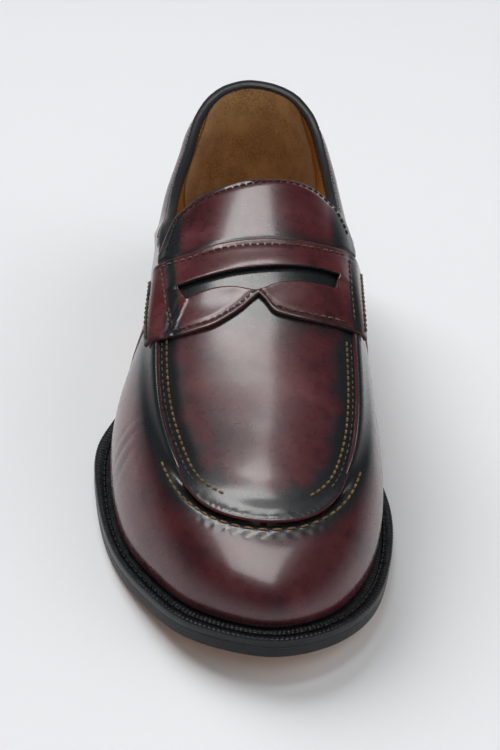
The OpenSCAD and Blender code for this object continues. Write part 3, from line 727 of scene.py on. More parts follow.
# ------------------------------------------------------------------ vamp
def seam_height(dr, s, side):
    """Relief at the moccasin seam on the vamp's leather. dr is the plan distance in from the rim."""
    w = toe_w(s)
    ridge = 1.0 * bell(dr, 1.3, 1.5)
    sides = ridge - 0.3 * bell(dr, -2.6, 1.5)
    ph = toe_phase(s)
    wp = 1 - sm((np.abs(s - 13) - 0.8) / 0.9)
    toe = -1.6 * bell(dr, 0.6, 2.3) + 0.08 * bell(dr, -3.4, 0.9) - 0.13 * ph * wp * bell(dr, -3.6, 1.0) + (0.15 * ph - 0.11) * wp * bell(dr, -5.4, 1.0)
    return sides * (1 - w) + toe * w


S_TOE = np.linspace(10.1, 15.95, 620)
T_TOE = 1 - 3.4 / 42
P_TOE = wtop(S_TOE, np.full(len(S_TOE), T_TOE))
A_TOE = np.r_[0, np.cumsum(np.linalg.norm(np.diff(P_TOE, axis=0), axis=1))]
A_TOE = A_TOE / A_TOE[-1]
LEN_TOE = np.linalg.norm(np.diff(P_TOE, axis=0), axis=1).sum()
TOE_FR, x_ = [], 0.0
while True:
    p_ = (2.9 + 2.2 * math.exp(-((x_ - 0.5) / 0.2) ** 2)) / LEN_TOE
    if x_ + p_ > 1:
        break
    TOE_FR.append((x_, x_ + p_))
    x_ += p_


def toe_phase(s):
    """0 in the middle of a toe stitch, 1 at the hole between two stitches."""
    x = np.interp(s, S_TOE, A_TOE)
    f0 = np.array([f[0] for f in TOE_FR] + [TOE_FR[-1][1]])
    i = np.clip(np.searchsorted(f0, x, side="right") - 1, 0, len(f0) - 2)
    u = (x - f0[i]) / (f0[i + 1] - f0[i])
    return 0.5 + 0.5 * np.cos(2 * math.pi * np.clip(u, 0, 1))


def vamp_outline():
    S = np.linspace(7.46, 18.54, 560)
    w = toe_w(S)
    tt = 1 + (FLAP / 50) * (1 - w) + 0.04 * w
    up = np.stack([S * 30, tt * 50], 1)
    lo = np.stack([S[::-1] * 30, np.full(len(S), 0.0)], 1)
    return corners_kept(np.vstack([up[::4], up[-1:], lo[::4], lo[-1:]]), 0.7)


to_st = lambda q: (q[:, 0] / 30, q[:, 1] / 50)
CREASES = [(9.0, 0.60, 0.40, 0.05, 0.16, 0.8), (9.22, 0.55, 0.34, 0.045, 0.20, 0.6), (9.47, 0.56, 0.26, 0.05, 0.13, 0.5),
           (16.95, 0.60, 0.30, 0.05, 0.10, -0.6), (17.2, 0.52, 0.28, 0.05, 0.09, -0.5)]


def creases(a, b):
    h = np.zeros_like(a)
    for s0, t0, ln, wd, am, sl in CREASES:
        x, y = (a - s0) - (b - t0) * 0.35 * sl, b - t0
        h += am * (-bell(x, 0, wd) + 0.6 * bell(x, wd * 2.1, wd * 1.6)) * bell(y, 0, ln * 0.6)
    return h


def vamp_lift(a, b, P, d):
    dr, s = rim_near(P)
    h = np.where(b > 0.6, seam_height(dr, a, 0), 0.0)
    return h * sm((b - 0.6) / 0.15) + creases(a, b) - 0.0


def vamp_edge(a, b, V, d):
    dr, s = rim_near(V)
    seam = np.clip(1 - (np.maximum(-dr, 0)) / 13, 0, 1) * sm((b - 0.35) / 0.2)
    seam = np.maximum(seam, sm((dr + 0.5) / 1.0))
    seam = np.maximum(seam, 0.85 * bell(dr, -3.4, 2.4))
    low = np.clip(1 - b * 50 / 9, 0, 1) * 0.75
    rear = np.maximum(np.clip(1 - (a - 7.46) * 30 / 12, 0, 1), np.clip(1 - (18.54 - a) * 30 / 12, 0, 1)) * 0.8
    return np.clip(np.maximum(np.maximum(seam, low), rear), 0, 1)


vamp = leather_patch("vamp_leather", wtop, to_st, vamp_outline(), res=1.25, base=-LEATHER, thick=LEATHER, radius=0.7,
                     lift=vamp_lift, mat=M_UP, edgek=vamp_edge)
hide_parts("vamp"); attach(vamp, "root")


# ------------------------------------------------------------------ apron
def apron_outline():
    S = np.linspace(6.95, 19.05, 520)
    w = toe_w(S)
    dr = 0.9 - 1.9 * (1 - sm((np.abs(S - 13) - 1.2) / 1.4))
    G = per(S)[:, 4:6] - pnorm(S, 4) * dr[:, None]
    return corners_kept(G[::3], 0.8)


def apron_lift(a, b, P, d):
    dr, s = rim_near(P)
    w = toe_w(s)
    on = sm((np.abs(s - 13) < 5.9) * 1.0)
    toe = 0.95 * np.clip(1 - (dr + 1) / 16, 0, 1) ** 1.5 + 0.12 * bell(dr, 0.2, 1.6)
    side = -0.75 * bell(dr, 2.2, 1.4) - 0.4 * bell(dr, 4.4, 0.8) - 0.3 * bell(dr, 6.2, 0.9) + 0.12 * bell(dr, 9.0, 2.2)
    return (toe * w + side * (1 - w)) * on


def apron_edge_and_strap_shade(a, b, V, d):
    dr, s = rim_near(V)
    wob = 2.0 * np.sin(s * 5.1) + 1.3 * np.sin(s * 11.7 + 1.0)
    band = np.clip(1.15 - (dr - 2.0) / (13.5 + wob), 0, 1)
    under = np.clip((V[:, 1] + 44) / 14, 0, 1) * 0.8      # painted shade under the strap and just below its lower edge
    return np.clip(np.maximum(band, under), 0, 1)


def fapron(a, b):
    """The top, carried straight on over the last few millimetres at the toe."""
    a, b = np.asarray(a, float), np.asarray(b, float)
    Q = np.c_[a.ravel(), b.ravel()]
    z = ztop(Q[:, 0], Q[:, 1])
    _, j = nearest(Q, RIM[:, :2])
    n = RIMN[j]
    dr = ((Q - RIM[j, :2]) * n).sum(1)
    k = sm((5.0 - dr) / 3.5) * toe_w(RS[j])
    on = k > 0
    if on.any():
        A, B = Q[on] + n[on] * (5 - dr[on])[:, None], Q[on] + n[on] * (8.5 - dr[on])[:, None]
        za, zc = ztop(A[:, 0], A[:, 1]), ztop(B[:, 0], B[:, 1])
        z[on] = z[on] * (1 - k[on]) + (za + (za - zc) / 3.5 * (5 - dr[on])) * k[on]
    return np.stack([a, b, z.reshape(a.shape)], -1)


to_xy = lambda q: (q[:, 0], q[:, 1])
apron = leather_patch("apron_leather", fapron, to_xy, apron_outline(), res=1.2, base=-LEATHER, thick=LEATHER, radius=0.45,
                      lift=apron_lift, mat=M_UP, edgek=apron_edge_and_strap_shade,
                      relax=lambda a, b, P: sm((7.0 - np.abs(rim_near(P)[0])) / 3.0) * sm((-60 - P[:, 1]) / 15) * (1 - 0.8 * toe_w(rim_near(P)[1])))
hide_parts("apron"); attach(apron, "root")


# ------------------------------------------------------------------ saddle strap
WING = 0.26
fold = lambda u: np.where(np.abs(u) <= 1, u * 40, np.sign(u) * (40 + (np.abs(u) - 1) * 45))
unfold = lambda x: np.where(np.abs(x) <= 40, x / 40, np.sign(x) * (1 + (np.abs(x) - 40) / 45))
to_su = lambda q: (-q[:, 1] / 30, unfold(q[:, 0]))
us = lambda u, s: np.stack([fold(np.asarray(u, float)), -30 * np.asarray(s, float)], 1)


def strap_outline():
    u1 = np.linspace(-1.18, 1.18, 90)
    topl = us(u1, hz(STRAP_TOP, u1))
    u2 = np.linspace(1.08, 0.01, 50)
    lowr = us(u2, hz(STRAP_LOW_R, u2))
    u3 = np.linspace(0.01, -1.07, 50)
    lowl = us(u3, hz(STRAP_LOW_L, u3))
    return corners_kept(np.vstack([topl, lowr, lowl[1:]]), 0.5)


def smooth_loop(P, corners, step=0.5, it=2):
    """Chaikin between the corners that stay sharp."""
    P = [np.array(p, float) for p in P]
    keep = set(corners)
    for _ in range(it):
        Q, K = [], set()
        n = len(P)
        for i in range(n):
            if i in keep:
                K.add(len(Q)); Q.append(P[i])
            else:
                a, b = P[i - 1], P[(i + 1) % n]
                Q.append(P[i] * 0.75 + a * 0.25); Q.append(P[i] * 0.75 + b * 0.25)
        P, keep = Q, K
    return corners_kept(np.array(P), step)


slot_flat = us(np.array([p[0] for p in SLOT]), np.array([p[1] for p in SLOT]))
slot_loop = smooth_loop(slot_flat, [0, 5, 6, 14])
slot_up3 = across(hz([(-0.77, 7.36), (-0.47, 7.29), (-0.146, 7.19), (0.24, 7.13), (0.644, 7.09), (0.81, 7.08)], np.linspace(-0.77, 0.81, 200)), np.linspace(-0.77, 0.81, 200))
slot_low3 = across(hz([(-0.69, 7.57), (-0.58, 7.51), (-0.435, 7.45), (-0.22, 7.43), (-0.03, 7.49), (0.064, 7.447), (0.2, 7.354), (0.47, 7.315), (0.76, 7.31)], np.linspace(-0.69, 0.76, 200)), np.linspace(-0.69, 0.76, 200))


def strap_lift(a, b, P, d):
    du, _ = nearest(P, slot_up3)
    dl, _ = nearest(P, slot_low3)
    # the strap bellies up above the slot and lies flatter below it
    h = 0.9 * np.exp(-(du / 7.0) ** 2) * (a < hz([(-0.77, 7.36), (0, 7.16), (0.81, 7.1)], b) + 0.02)
    h += 0.25 * np.exp(-(dl / 4.0) ** 2)
    h *= 1 - sm((np.abs(b) - 0.82) / 0.15)
    lowd = np.where(b < 0.01, hz(STRAP_LOW_L, b), hz(STRAP_LOW_R, b)) - a
    h += 0.2 * np.exp(-(lowd * 30 / 5.0) ** 2) * (np.abs(b) < 0.95)
    # the stitched run sinks a little into the leather
    tops = (a - hz(STRAP_TOP, b)) * 30
    h -= 0.22 * bell(tops, 2.4, 0.8) * (np.abs(b) < 0.98)
    h -= 0.22 * bell(lowd * 30, 2.6, 0.8) * (np.abs(b) < 0.9)
    # fold line from the slot's lateral corner to the lower edge
    x = b - (-0.69 - 0.085 * (a - 7.57) / 0.32)
    h += np.where((a > 7.52), 0.35 * bell(x, 0, 0.02) - 0.25 * bell(x, -0.05, 0.03), 0)
    x = b - (0.775 + 0.06 * (a - 7.2) / 0.3)
    h += np.where((a > 7.15) & (a < 7.6), 0.25 * bell(x, 0, 0.018), 0)
    h -= 0.25 * bell((b + 0.93 - 0.12 * (a - 6.95)) * 40, 0, 1.0) + 0.25 * bell((b - 0.93) * 40, 0, 1.0)
    return h


def strap_edge_and_slot_shade(a, b, V, d):
    left = bell(b, -0.86 + 0.10 * (a - 7.0), 0.055) * 1.05
    lowl = bell(b, -0.80, 0.09) * sm((a - 7.5) / 0.3)
    right = bell(b, 0.95, 0.06) * 0.95
    tops = np.clip(1 - ((a - hz(STRAP_TOP, b)) * 30 - 1.2) / 3.5, 0, 1) * (d > 1.3) * 0.45
    du, _ = nearest(V, slot_up3)
    lowd = (np.where(b < 0.01, hz(STRAP_LOW_L, b), hz(STRAP_LOW_R, b)) - a) * 30
    lowe = np.clip(1.1 - lowd / 1.5, 0, 1) * 0.75 * (np.abs(b) < 1.0)
    # the last term is painted shade: slate along the slot's upper lip, whose cut face looks down into the gap
    e = np.maximum.reduce([left, lowl, right, tops, lowe, 0.35 * np.clip(1 - d / 1.0, 0, 1), 1.2 * np.clip(1 - (du - 1.7) / 1.3, 0, 1)])
    wing = (np.abs(b) > 1.1 - 0.09 * (a - 6.8)) * 0.6
    return np.clip(np.maximum(e, wing), 0, 1)


def strap_cut(a, b, V, d):
    du, _ = nearest(V, slot_up3)
    dl, _ = nearest(V, slot_low3)
    # painted shade: no red cut colour along the slot's upper lip
    k = 1 - (du < 3.2) * 1.0
    k = k * np.where((dl < 3.2) & (du >= 3.2), 0.75, 1.0)
    lowd = np.where(b < 0.01, hz(STRAP_LOW_L, b), hz(STRAP_LOW_R, b)) - a
    k = k * np.where((lowd < 0.06) & (np.abs(b) < 0.97), 0.5, 1.0)
    return k * (1 - 0.8 * (np.abs(b) > 1.05))


strap = leather_patch("saddle_strap_leather", across, to_su, strap_outline(), holes=[slot_loop], res=0.9, base=0.35, thick=1.6,
                      radius=0.5, lift=strap_lift, mat=M_STRAP, edgek=strap_edge_and_slot_shade, edge_step=0.4, cutk=strap_cut)
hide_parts("saddle_strap"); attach(strap, "root")


# ------------------------------------------------------------------ tongue
def tongue_outline():
    u = np.linspace(-0.98, 1.01, 120)
    up = us(u, hz(TONGUE_TOP, u))
    v = np.linspace(1.01, -0.98, 60)
    lo = us(v, hz(STRAP_TOP, v) + 0.14)
    return corners_kept(np.vstack([up, lo]), 0.5)


def tongue_lift(a, b, P, d):
    g = 1.7 * sm((np.abs(b) - 0.72) / 0.2)
    under = sm((a - (hz(STRAP_TOP, b) - 0.05)) / 0.05)
    g = g * (1 - under) + (-0.25 * (1 - sm((np.abs(b) - 0.8) / 0.15)) ) * under
    g = g - 0.22 * bell(d, 2.0, 0.7) * (a < hz(STRAP_TOP, b) - 0.06)
    return g


def tongue_edge(a, b, V, d):
    side = sm((np.abs(b) - 0.66) / 0.22)
    low = np.clip(1 - (hz(STRAP_TOP, b) - a) * 30 / 7, 0, 1) * 0.8
    rim_ = np.clip(1 - d / 2.8, 0, 1) * 0.7
    return np.clip(np.maximum.reduce([side, low, rim_]), 0, 1)


tongue = leather_patch("tongue_leather", across, to_su, tongue_outline(), res=1.0, base=0.3 - LEATHER, thick=LEATHER, radius=0.5,
                       lift=tongue_lift, mat=M_UP, edgek=tongue_edge)
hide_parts("tongue")
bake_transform(tongue)


# ------------------------------------------------------------------ quarters and back strap
def rect(s0, s1, t0, t1):
    return corners_kept(np.array([(s0 * 30, t0 * 50), (s1 * 30, t0 * 50), (s1 * 30, t1 * 50), (s0 * 30, t1 * 50)]), 0.8)


def quarter_lift(a, b, P, d):
    q = np.where(a > 13, 26 - a, a)
    h = 0.55 * sm((q - 7.1) / 0.2) * (b < 0.999)
    # the collar is padded a little below the binding
    return h + collar_swell(a, b)


def quarter_edge(a, b, V, d):
    q = np.where(a > 13, 26 - a, a)
    topb = np.clip(1 - ((1 - b) * 50 - 2.4) / 2.5, 0, 1) * 0.7
    low = np.clip(1 - b * 50 / 9, 0, 1) * 0.75
    front = np.clip(1 - (7.6 - q) * 30 / 10, 0, 1) * 0.8
    back = np.clip(1 - (q - 0.8) * 30 / 9, 0, 1) * 0.7
    return np.clip(np.maximum.reduce([topb, low, front, back]), 0, 1)


def collar_swell(a, b):
    q = np.abs(np.where(a > 13, a - 26, a))
    k = 1 - sm((q - 5.5) / 0.8)
    return (1.9 * bell(b, 0.862, 0.058) - 0.8 * sm((b - 0.93) / 0.05)) * k


for nm, s0, s1 in (("quarter_lateral", 0.02, 7.56), ("quarter_medial", 18.44, 25.98)):
    q = leather_patch(nm + "_leather", wall, to_st, rect(s0, s1, 0.0, 0.995), res=1.5, base=-LEATHER, thick=LEATHER, radius=0.6,
                      lift=quarter_lift, mat=M_UP, edgek=quarter_edge)
    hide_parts(nm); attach(q, "root")


def back_outline():
    P = [(-0.55, 0.0), (0.55, 0.0), (0.62, 0.3), (0.8, 0.7), (0.95, 0.9), (0.95, 0.99), (-0.95, 0.99), (-0.95, 0.9), (-0.8, 0.7), (-0.62, 0.3)]
    P = np.array([(a * 30, b * 50) for a, b in P])
    return smooth_loop(P, [0, 1, 5, 6])


backs = leather_patch("back_strap_leather", wall, to_st, back_outline(), res=1.2, base=0.05, thick=1.2, radius=0.5, mat=M_UP,
                      lift=lambda a, b, P, d: collar_swell(a, b),
                      edgek=lambda a, b, V, d: np.clip(np.maximum(1 - d / 5, (1 - b * 50 / 9)) * 0.85, 0, 1))
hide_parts("back_strap"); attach(backs, "root")

# ------------------------------------------------------------------ collar binding
BW = 4.6


def bind_section(n=40):
    """Outer run of the folded binding: down the outside, over the rim and down the inside. (out from the wall, up)"""
    P = [(0.1, -2.65), (0.4, -2.6), (0.62, -2.2), (0.66, -1.4), (0.62, -0.4), (0.42, 0.5), (-0.1, 1.0), (-1.3, 1.2), (-2.5, 1.05),
         (-3.5, 0.55), (-4.0, -0.5), (-4.1, -2.6), (-4.05, -4.2), (-3.7, -4.7), (-3.3, -4.6)]
    P = np.array(P)
    for _ in range(2):
        Q = [P[0]]
        for i in range(len(P) - 1):
            Q += [P[i] * 0.75 + P[i + 1] * 0.25, P[i] * 0.25 + P[i + 1] * 0.75]
        Q.append(P[-1])
        P = np.array(Q)
    return P


def bind_frame(s):
    p = wall(s, 1.0)
    m = unit(p - wall(s, 0.93))
    d = unit(wall(s + 0.05, 1.0) - wall(s - 0.05, 1.0))
    return p, m, unit(np.cross(d, m))


def inner_leg(s):
    """The turned-in side of the binding is narrower round the back of the heel."""
    return 0.42 + 0.58 * sm((np.abs(s) - 0.8) / 2.6)


def binding():
    S = np.linspace(-6.32, 6.55, 460)
    C = bind_section()
    p, m, n = bind_frame(S)
    wav = 0.10 * np.sin(S * 9.0) + 0.07 * np.sin(S * 23.0 + 1.0)
    leg = inner_leg(S)[:, None]
    C1 = np.where((C[None, :, 0] < -2.0) & (C[None, :, 1] < 0.3), 0.3 + (C[None, :, 1] - 0.3) * leg, C[None, :, 1])
    set_in = (0.75 * (1 - sm((np.abs(S) - 5.5) / 0.8)))[:, None]
    V = p[:, None] + n[:, None] * (C[None, :, 0] * 0.94 + wav[:, None] * 0.5 - set_in)[..., None] + m[:, None] * C1[..., None]
    # the ends tuck in under the tongue
    k = np.maximum(sm((S - 6.2) / 0.35), sm((-S - 6.0) / 0.32))
    V = V - n[:, None] * (k * 1.6)[:, None, None] - m[:, None] * (k * 0.9)[:, None, None]
    r, c = V.shape[:2]
    VV = V.reshape(-1, 3)
    F = []
    for i in range(r - 1):
        for j in range(c - 1):
            a = i * c + j
            F.append((a, a + c, a + c + 1, a + 1))
    F.append(tuple(range(c)))
    F.append(tuple(range((r - 1) * c, r * c))[::-1])
    e = np.zeros((r, c)) + 0.72
    x = np.abs(C[:, 0] + 1.6)
    e += 0.25 * sm((x - 2.2) / 1.2)[None]
    e -= 0.35 * (bell(C[:, 1], 1.2, 0.8) * (C[:, 0] < 0.6))[None] * (0.6 + 0.4 * np.sin(S * 3.3 + 0.6))[:, None]
    ob = mesh_from("collar_binding", VV, F, {"edge": e.ravel(), "cut": np.zeros(r * c), "dist": np.zeros(r * c)}, M_BIND)
    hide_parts("topline_binding"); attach(ob, "root")
    return ob


bind_ob = binding()

# ------------------------------------------------------------------ inside linings
def lining(name, s0, s1, t0, t1, off, thick, mat, replaces=(), res=1.8, lift=None, outline=None):
    ob = leather_patch(name, wall, to_st, rect(s0, s1, t0, t1) if outline is None else outline, res=res, base=off, thick=thick, radius=0.3, flip=False, mat=mat,
                       lift=lift)
    if replaces:
        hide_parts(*replaces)
    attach(ob, "root")
    return ob


lining("quarter_lining_lateral_leather", 1.2, 7.44, 0.06, 0.985, -3.15, 0.8, M_TAN, ("quarter_lining_lateral",))
lining("quarter_lining_medial_leather", 18.56, 24.8, 0.06, 0.985, -3.15, 0.8, M_TAN, ("quarter_lining_medial",))
lining("heel_grip_suede", -2.12, 2.12, 0.06, 0.985, -3.85, 0.65, M_SUEDE, ("heel_grip",),
       outline=corners_kept(np.array([(a * 30, b * 50) for a, b in ((-2.9, 0.06), (2.35, 0.06), (2.3, 0.35), (2.0, 0.6), (1.75, 0.8), (1.55, 0.985),
                                                                    (-1.4, 0.985), (-1.66, 0.88), (-2.05, 0.7), (-2.4, 0.5), (-2.7, 0.3))]), 0.8),
       lift=lambda a, b, P, d: -0.25 * bell(d, 2.0, 0.8) + 0.3 * bell(a + 0.5, 0, 0.07) * bell(b, 0.68, 0.1) - 0.2 * bell(a, 0.05, 0.03) * (b > 0.5) * (b < 0.9))


def sock_outline():
    S = np.linspace(0, 26, 320)[:-1]
    return corners_kept(inset(S, 2, np.full(len(S), 5.0)), 1.2)


sock = leather_patch("sock_leather", lambda a, b: np.stack([np.asarray(a, float), np.asarray(b, float), zb(np.asarray(b, float)) + ZF + 4.72], -1), to_xy,
                     sock_outline(), res=2.2, base=0.0, thick=0.8, radius=0.35, mat=M_TAN, edge_step=1.2,
                     lift=lambda a, b, P, d: 0.25 * bell(d, 0, 5) - 0.12 * bell(d, 3.0, 0.8))
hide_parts("sock_lining"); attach(sock, "root")
lining("vamp_lining_drill", 7.5, 18.5, 0.07, 0.92, -2.5, 0.75, M_CANVAS, ("vamp_lining",), res=2.2)
S_ = np.linspace(7.05, 18.95, 300)
apl = leather_patch("apron_lining_drill", fplan, to_xy, corners_kept((per(S_)[:, 4:6] - pnorm(S_, 4) * 4.0)[::3], 1.2), res=2.2, base=-2.5, thick=0.75,
                    radius=0.3, mat=M_CANVAS, edge_step=1.2)
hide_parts("apron_lining"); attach(apl, "root")


def tongue_lining_outline():
    u = np.linspace(-0.8, 0.8, 90)
    up = us(u, hz(TONGUE_TOP, u) + 0.05)
    lo = us(u[::-1], hz(STRAP_TOP, u[::-1]) - 0.02)
    return corners_kept(np.vstack([up, lo]), 0.8)


tl = leather_patch("tongue_lining_leather", across, to_su, tongue_lining_outline(), res=1.5, base=-2.4, thick=1.0, radius=0.3,
                   mat=M_TAN)
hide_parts("tongue_lining")
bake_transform(tl)


# ------------------------------------------------------------------ sole unit
def ring_strip(name, S, sec, mat, replaces, attrs=None, wave=None, closed_section=True):
    """Sweeps a closed section along the sole edge. sec(S) gives (n, m, 2): distance in from the edge and height over the underside."""
    C = sec(S)
    r, c = C.shape[:2]
    E = plan(S, 0)
    n = pnorm(S, 0)
    P = E[:, None] - n[:, None] * C[..., 0:1]
    z = zb(P[..., 1]) + C[..., 1]
    V = np.concatenate([P, z[..., None]], -1).reshape(-1, 3)
    F = []
    for i in range(r - 1):
        for j in range(c):
            k = (j + 1) % c
            F.append((i * c + j, i * c + k, (i + 1) * c + k, (i + 1) * c + j))
    F.append(tuple(range(c))[::-1])
    F.append(tuple(range((r - 1) * c, r * c)))
    ob = mesh_from(name, V, F, attrs(S, C) if attrs else None, mat)
    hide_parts(*replaces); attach(ob, "root")
    return ob


def arc_of(S, k=0):
    Q = plan(S, k)
    return np.r_[0, np.cumsum(np.linalg.norm(np.diff(Q, axis=0), axis=1))]


def welt_width(S):
    return np.linalg.norm(plan(S, 0) - plan(S, 2), axis=1)


def welt_sec(S):
    w = welt_width(S)
    arc = arc_of(S)
    rib = 0.36 * (0.5 - 0.5 * np.cos(2 * math.pi * arc / 1.75))
    b, t = OUTSOLE_T - 0.01, ZF
    rows = []
    z = lambda x: np.full_like(w, x)
    rows.append((z(0.08), z(b)))
    rows.append((z(0.0), z(b + 0.08)))
    rows.append((z(0.0) - 0.05, z((b + t) / 2)))
    rows.append((z(0.0) - rib * 0.3, z(t - 0.55)))
    rows.append((z(0.18), t - 0.18 + rib * 0.6))
    rows.append((z(0.55), t + rib))
    rows.append((z(1.2), t + 0.02 + rib))
    rows.append((w * 0.32, t - 0.05 + rib * 0.8))
    rows.append((w * 0.44, t - 0.42 + rib * 0.2))          # the stitched channel
    rows.append((w * 0.56, t - 0.42 + rib * 0.2))
    rows.append((w * 0.68, t - 0.05 + rib * 0.7))
    rows.append((w * 0.9, t + 0.08 + rib * 0.5))
    rows.append((w + 1.2, t + 0.0 + 0 * w))
    rows.append((w + 5.0, t - 0.05 + 0 * w))
    rows.append((w + 5.0, z(b)))
    return np.stack([np.stack([np.broadcast_to(a, w.shape), np.broadcast_to(h, w.shape)], -1) for a, h in rows], 1)


nrib = 4
S_w = np.interp(np.linspace(0, 1, int(arc_of(np.linspace(4.45, 21.55, 3000))[-1] / 1.75 * nrib)),
                arc_of(np.linspace(4.45, 21.55, 3000)) / arc_of(np.linspace(4.45, 21.55, 3000))[-1], np.linspace(4.45, 21.55, 3000))
welt = ring_strip("welt_ribbed", S_w, welt_sec, M_WELT, ("welt",))


def rand_sec(S):
    w = welt_width(S)
    b, t = OUTSOLE_T - 0.01, ZF
    z = lambda x: np.full_like(w, x)
    rows = [(z(0.08), z(b)), (z(0), z(b + 0.08)), (z(-0.03), z((b + t) / 2)), (z(0), z(t - 0.5)), (z(0.2), z(t - 0.15)), (z(0.6), z(t)),
            (w * 0.6, z(t + 0.05)), (w + 1.2, z(t)), (w + 5, z(t - 0.05)), (w + 5, z(b))]
    return np.stack([np.stack([np.broadcast_to(a, w.shape), np.broadcast_to(h, w.shape)], -1) for a, h in rows], 1)


rand_ = ring_strip("heel_rand_leather", np.linspace(-4.45, 4.45, 240), rand_sec, M_WELT, ("heel_rand",))


def outsole():
    """One shell: underside grid, rounded edge and top."""
    S = np.r_[0.0, np.linspace(0.03, 12.97, 330), 13.0]
    prof = [(3.0, 0.0, 0), (1.0, 0.0, 0.0), (0.45, 0.1, 0.5), (0.1, 0.45, 1), (0.0, 1.0, 1), (-0.06, 2.5, 1), (0.0, 4.6, 1), (0.02, 4.9, 1), (0.08, 4.99, 1), (4.0, 4.99, 1)]
    m = 18
    V, E = [], []
    row = []
    for d, z, e in prof:
        for side in (0, 1):
            pass
    # columns across: lateral profile reversed, underside, medial profile
    a = [inset(S, 0, np.full(len(S), d)) for d, z, e in prof]
    b = [inset(26 - S, 0, np.full(len(S), d)) for d, z, e in prof]
    cols, zz, ee = [], [], []
    for k in range(len(prof) - 1, -1, -1):
        cols.append(a[k]); zz.append(prof[k][1]); ee.append(prof[k][2])
    for j in range(1, m):
        cols.append(a[0] * (1 - j / m) + b[0] * (j / m)); zz.append(0.0); ee.append(0.0)
    for k in range(len(prof)):
        cols.append(b[k]); zz.append(prof[k][1]); ee.append(prof[k][2])
    P = np.stack(cols, 1)
    z = zb(P[..., 1]) + np.array(zz)[None]
    V = np.concatenate([P, z[..., None]], -1)
    r, c = V.shape[:2]
    F = []
    for i in range(r - 1):
        for j in range(c):
            k = (j + 1) % c
            F.append((i * c + j, (i + 1) * c + j, (i + 1) * c + k, i * c + k))
    ee = np.tile(np.array(ee), r)
    ob = mesh_from("outsole_leather", V.reshape(-1, 3), F, {"edge": ee}, M_SOLE)
    bm = bmesh.new()
    bm.from_mesh(ob.data)
    bmesh.ops.remove_doubles(bm, verts=bm.verts, dist=2e-6)
    bmesh.ops.dissolve_degenerate(bm, edges=bm.edges, dist=1e-6)
    bm.to_mesh(ob.data)
    bm.free()
    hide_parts("outsole"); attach(ob, "root")
    return ob


outsole_ob = outsole()


def heel_outline(d, step=1.5):
    S = np.linspace(-4.45, 4.45, 160)
    A = inset(S, 0, np.full(len(S), d))
    v = np.linspace(0, 1, 40)[1:-1]
    B = np.stack([A[-1, 0] + (A[0, 0] - A[-1, 0]) * v, 65 + 20 * v * (1 - v)], 1)
    return np.vstack([A, B])


def slab(name, d0, d1, z0, z1, mat, replaces, bev=0.35):
    rows = []
    for dd, z in ((d0 + bev, z0), (d0, z0 + bev), (d1, z1 - bev), (d1 + bev, z1)):
        o = heel_outline(dd)
        rows.append(np.c_[o, np.full(len(o), z)])
    V = np.array(rows)
    r, c = V.shape[:2]
    F = []
    for i in range(r - 1):
        for j in range(c):
            k = (j + 1) % c
            F.append((i * c + j, (i + 1) * c + j, (i + 1) * c + k, i * c + k))
    F.append(tuple(range(c)))
    F.append(tuple(range((r - 1) * c, r * c))[::-1])
    ob = mesh_from(name, V.reshape(-1, 3), F, None, mat, smooth=True)
    md = ob.modifiers.new("ws", "WEIGHTED_NORMAL")
    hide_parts(*replaces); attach(ob, "root")
    return ob


slab("heel_top_rubber", 1.1, 1.05, 0.0, 6.0, M_RUBBER, ("heel_top_piece",), 0.5)
slab("heel_lift_1_leather", 0.85, 0.75, 6.02, 11.0, M_STACK, ("heel_lift_1",), 0.18)
slab("heel_lift_2_leather", 0.55, 0.45, 11.02, 16.0, M_STACK, ("heel_lift_2",), 0.18)
slab("heel_lift_3_leather", 0.25, 0.1, 16.02, 20.98, M_STACK, ("heel_lift_3",), 0.18)


# ------------------------------------------------------------------ stitching
def on_piece(ob, P, N, reach=4.0):
    """Drops points onto the outside of a finished piece, along their normals."""
    from mathutils.bvhtree import BVHTree
    me = ob.data
    n = ob["n_outer"]
    V = np.empty(len(me.vertices) * 3); me.vertices.foreach_get("co", V); V = V.reshape(-1, 3)
    polys = [tuple(p.vertices) for p in me.polygons if max(p.vertices) < n]
    tree = BVHTree.FromPolygons([Vector(v) for v in V[:n]], polys)
    Q, M = P.copy(), N.copy()
    for i in range(len(P)):
        o = Vector((P[i] + N[i] * reach) / 1000)
        hit, nn, _, _ = tree.ray_cast(o, -Vector(N[i]), (reach + 4) / 1000)
        if hit is not None:
            Q[i] = np.array(hit) * 1000
            M[i] = np.array(nn) if np.dot(np.array(nn), N[i]) > 0 else -np.array(nn)
    return Q, unit(M)


def run_on(ob, f, a, b, pitch, **kw):
    P, N = f(a, b), normal_of(f, a, b)
    Q, M = on_piece(ob, P, N)
    k = np.ones(9) / 9
    pad = lambda x: np.vstack([x[:1]] * 4 + [x] + [x[-1:]] * 4)
    M = unit(np.stack([np.convolve(pad(M)[:, i], k, "valid") for i in range(3)], 1))
    return thread_run(Q, M, pitch, **kw)


def rim_line(S, dr):
    """Plan points a distance in from the rim, as (x, y)."""
    G = per(S)[:, 4:6] - pnorm(S, 4) * np.asarray(dr)[..., None]
    return G[:, 0], G[:, 1]


# apron: one clear row 3 mm inside the cut edge and a fainter one beside the cut edge
S_in = np.linspace(8.05, 11.95, 400)
S_in2 = np.linspace(18.02, 14.2, 390)
runs, faint = [], []
for S in (S_in, S_in2):
    for dr, r, p in ((5.6, 0.42, 2.75), (3.7, 0.24, 2.9)):
        SS = S if dr > 4 else S[:-60]
        x, y = rim_line(SS, np.full(len(SS), dr))
        (runs if dr > 4 else faint).append(run_on(apron, fplan, x, y, p, radius=r, fill=0.66, sink=0.4))
# vamp: the row outside the seam round the toe, longer stitches at the tip
runs.append(run_on(vamp, wtop, S_TOE, np.full(len(S_TOE), T_TOE), 3, radius=0.4, fill=0.74, sink=0.45, fracs=TOE_FR))
threads("apron_thread", runs, M_THREAD_O, replaces=("apron_stitching",))

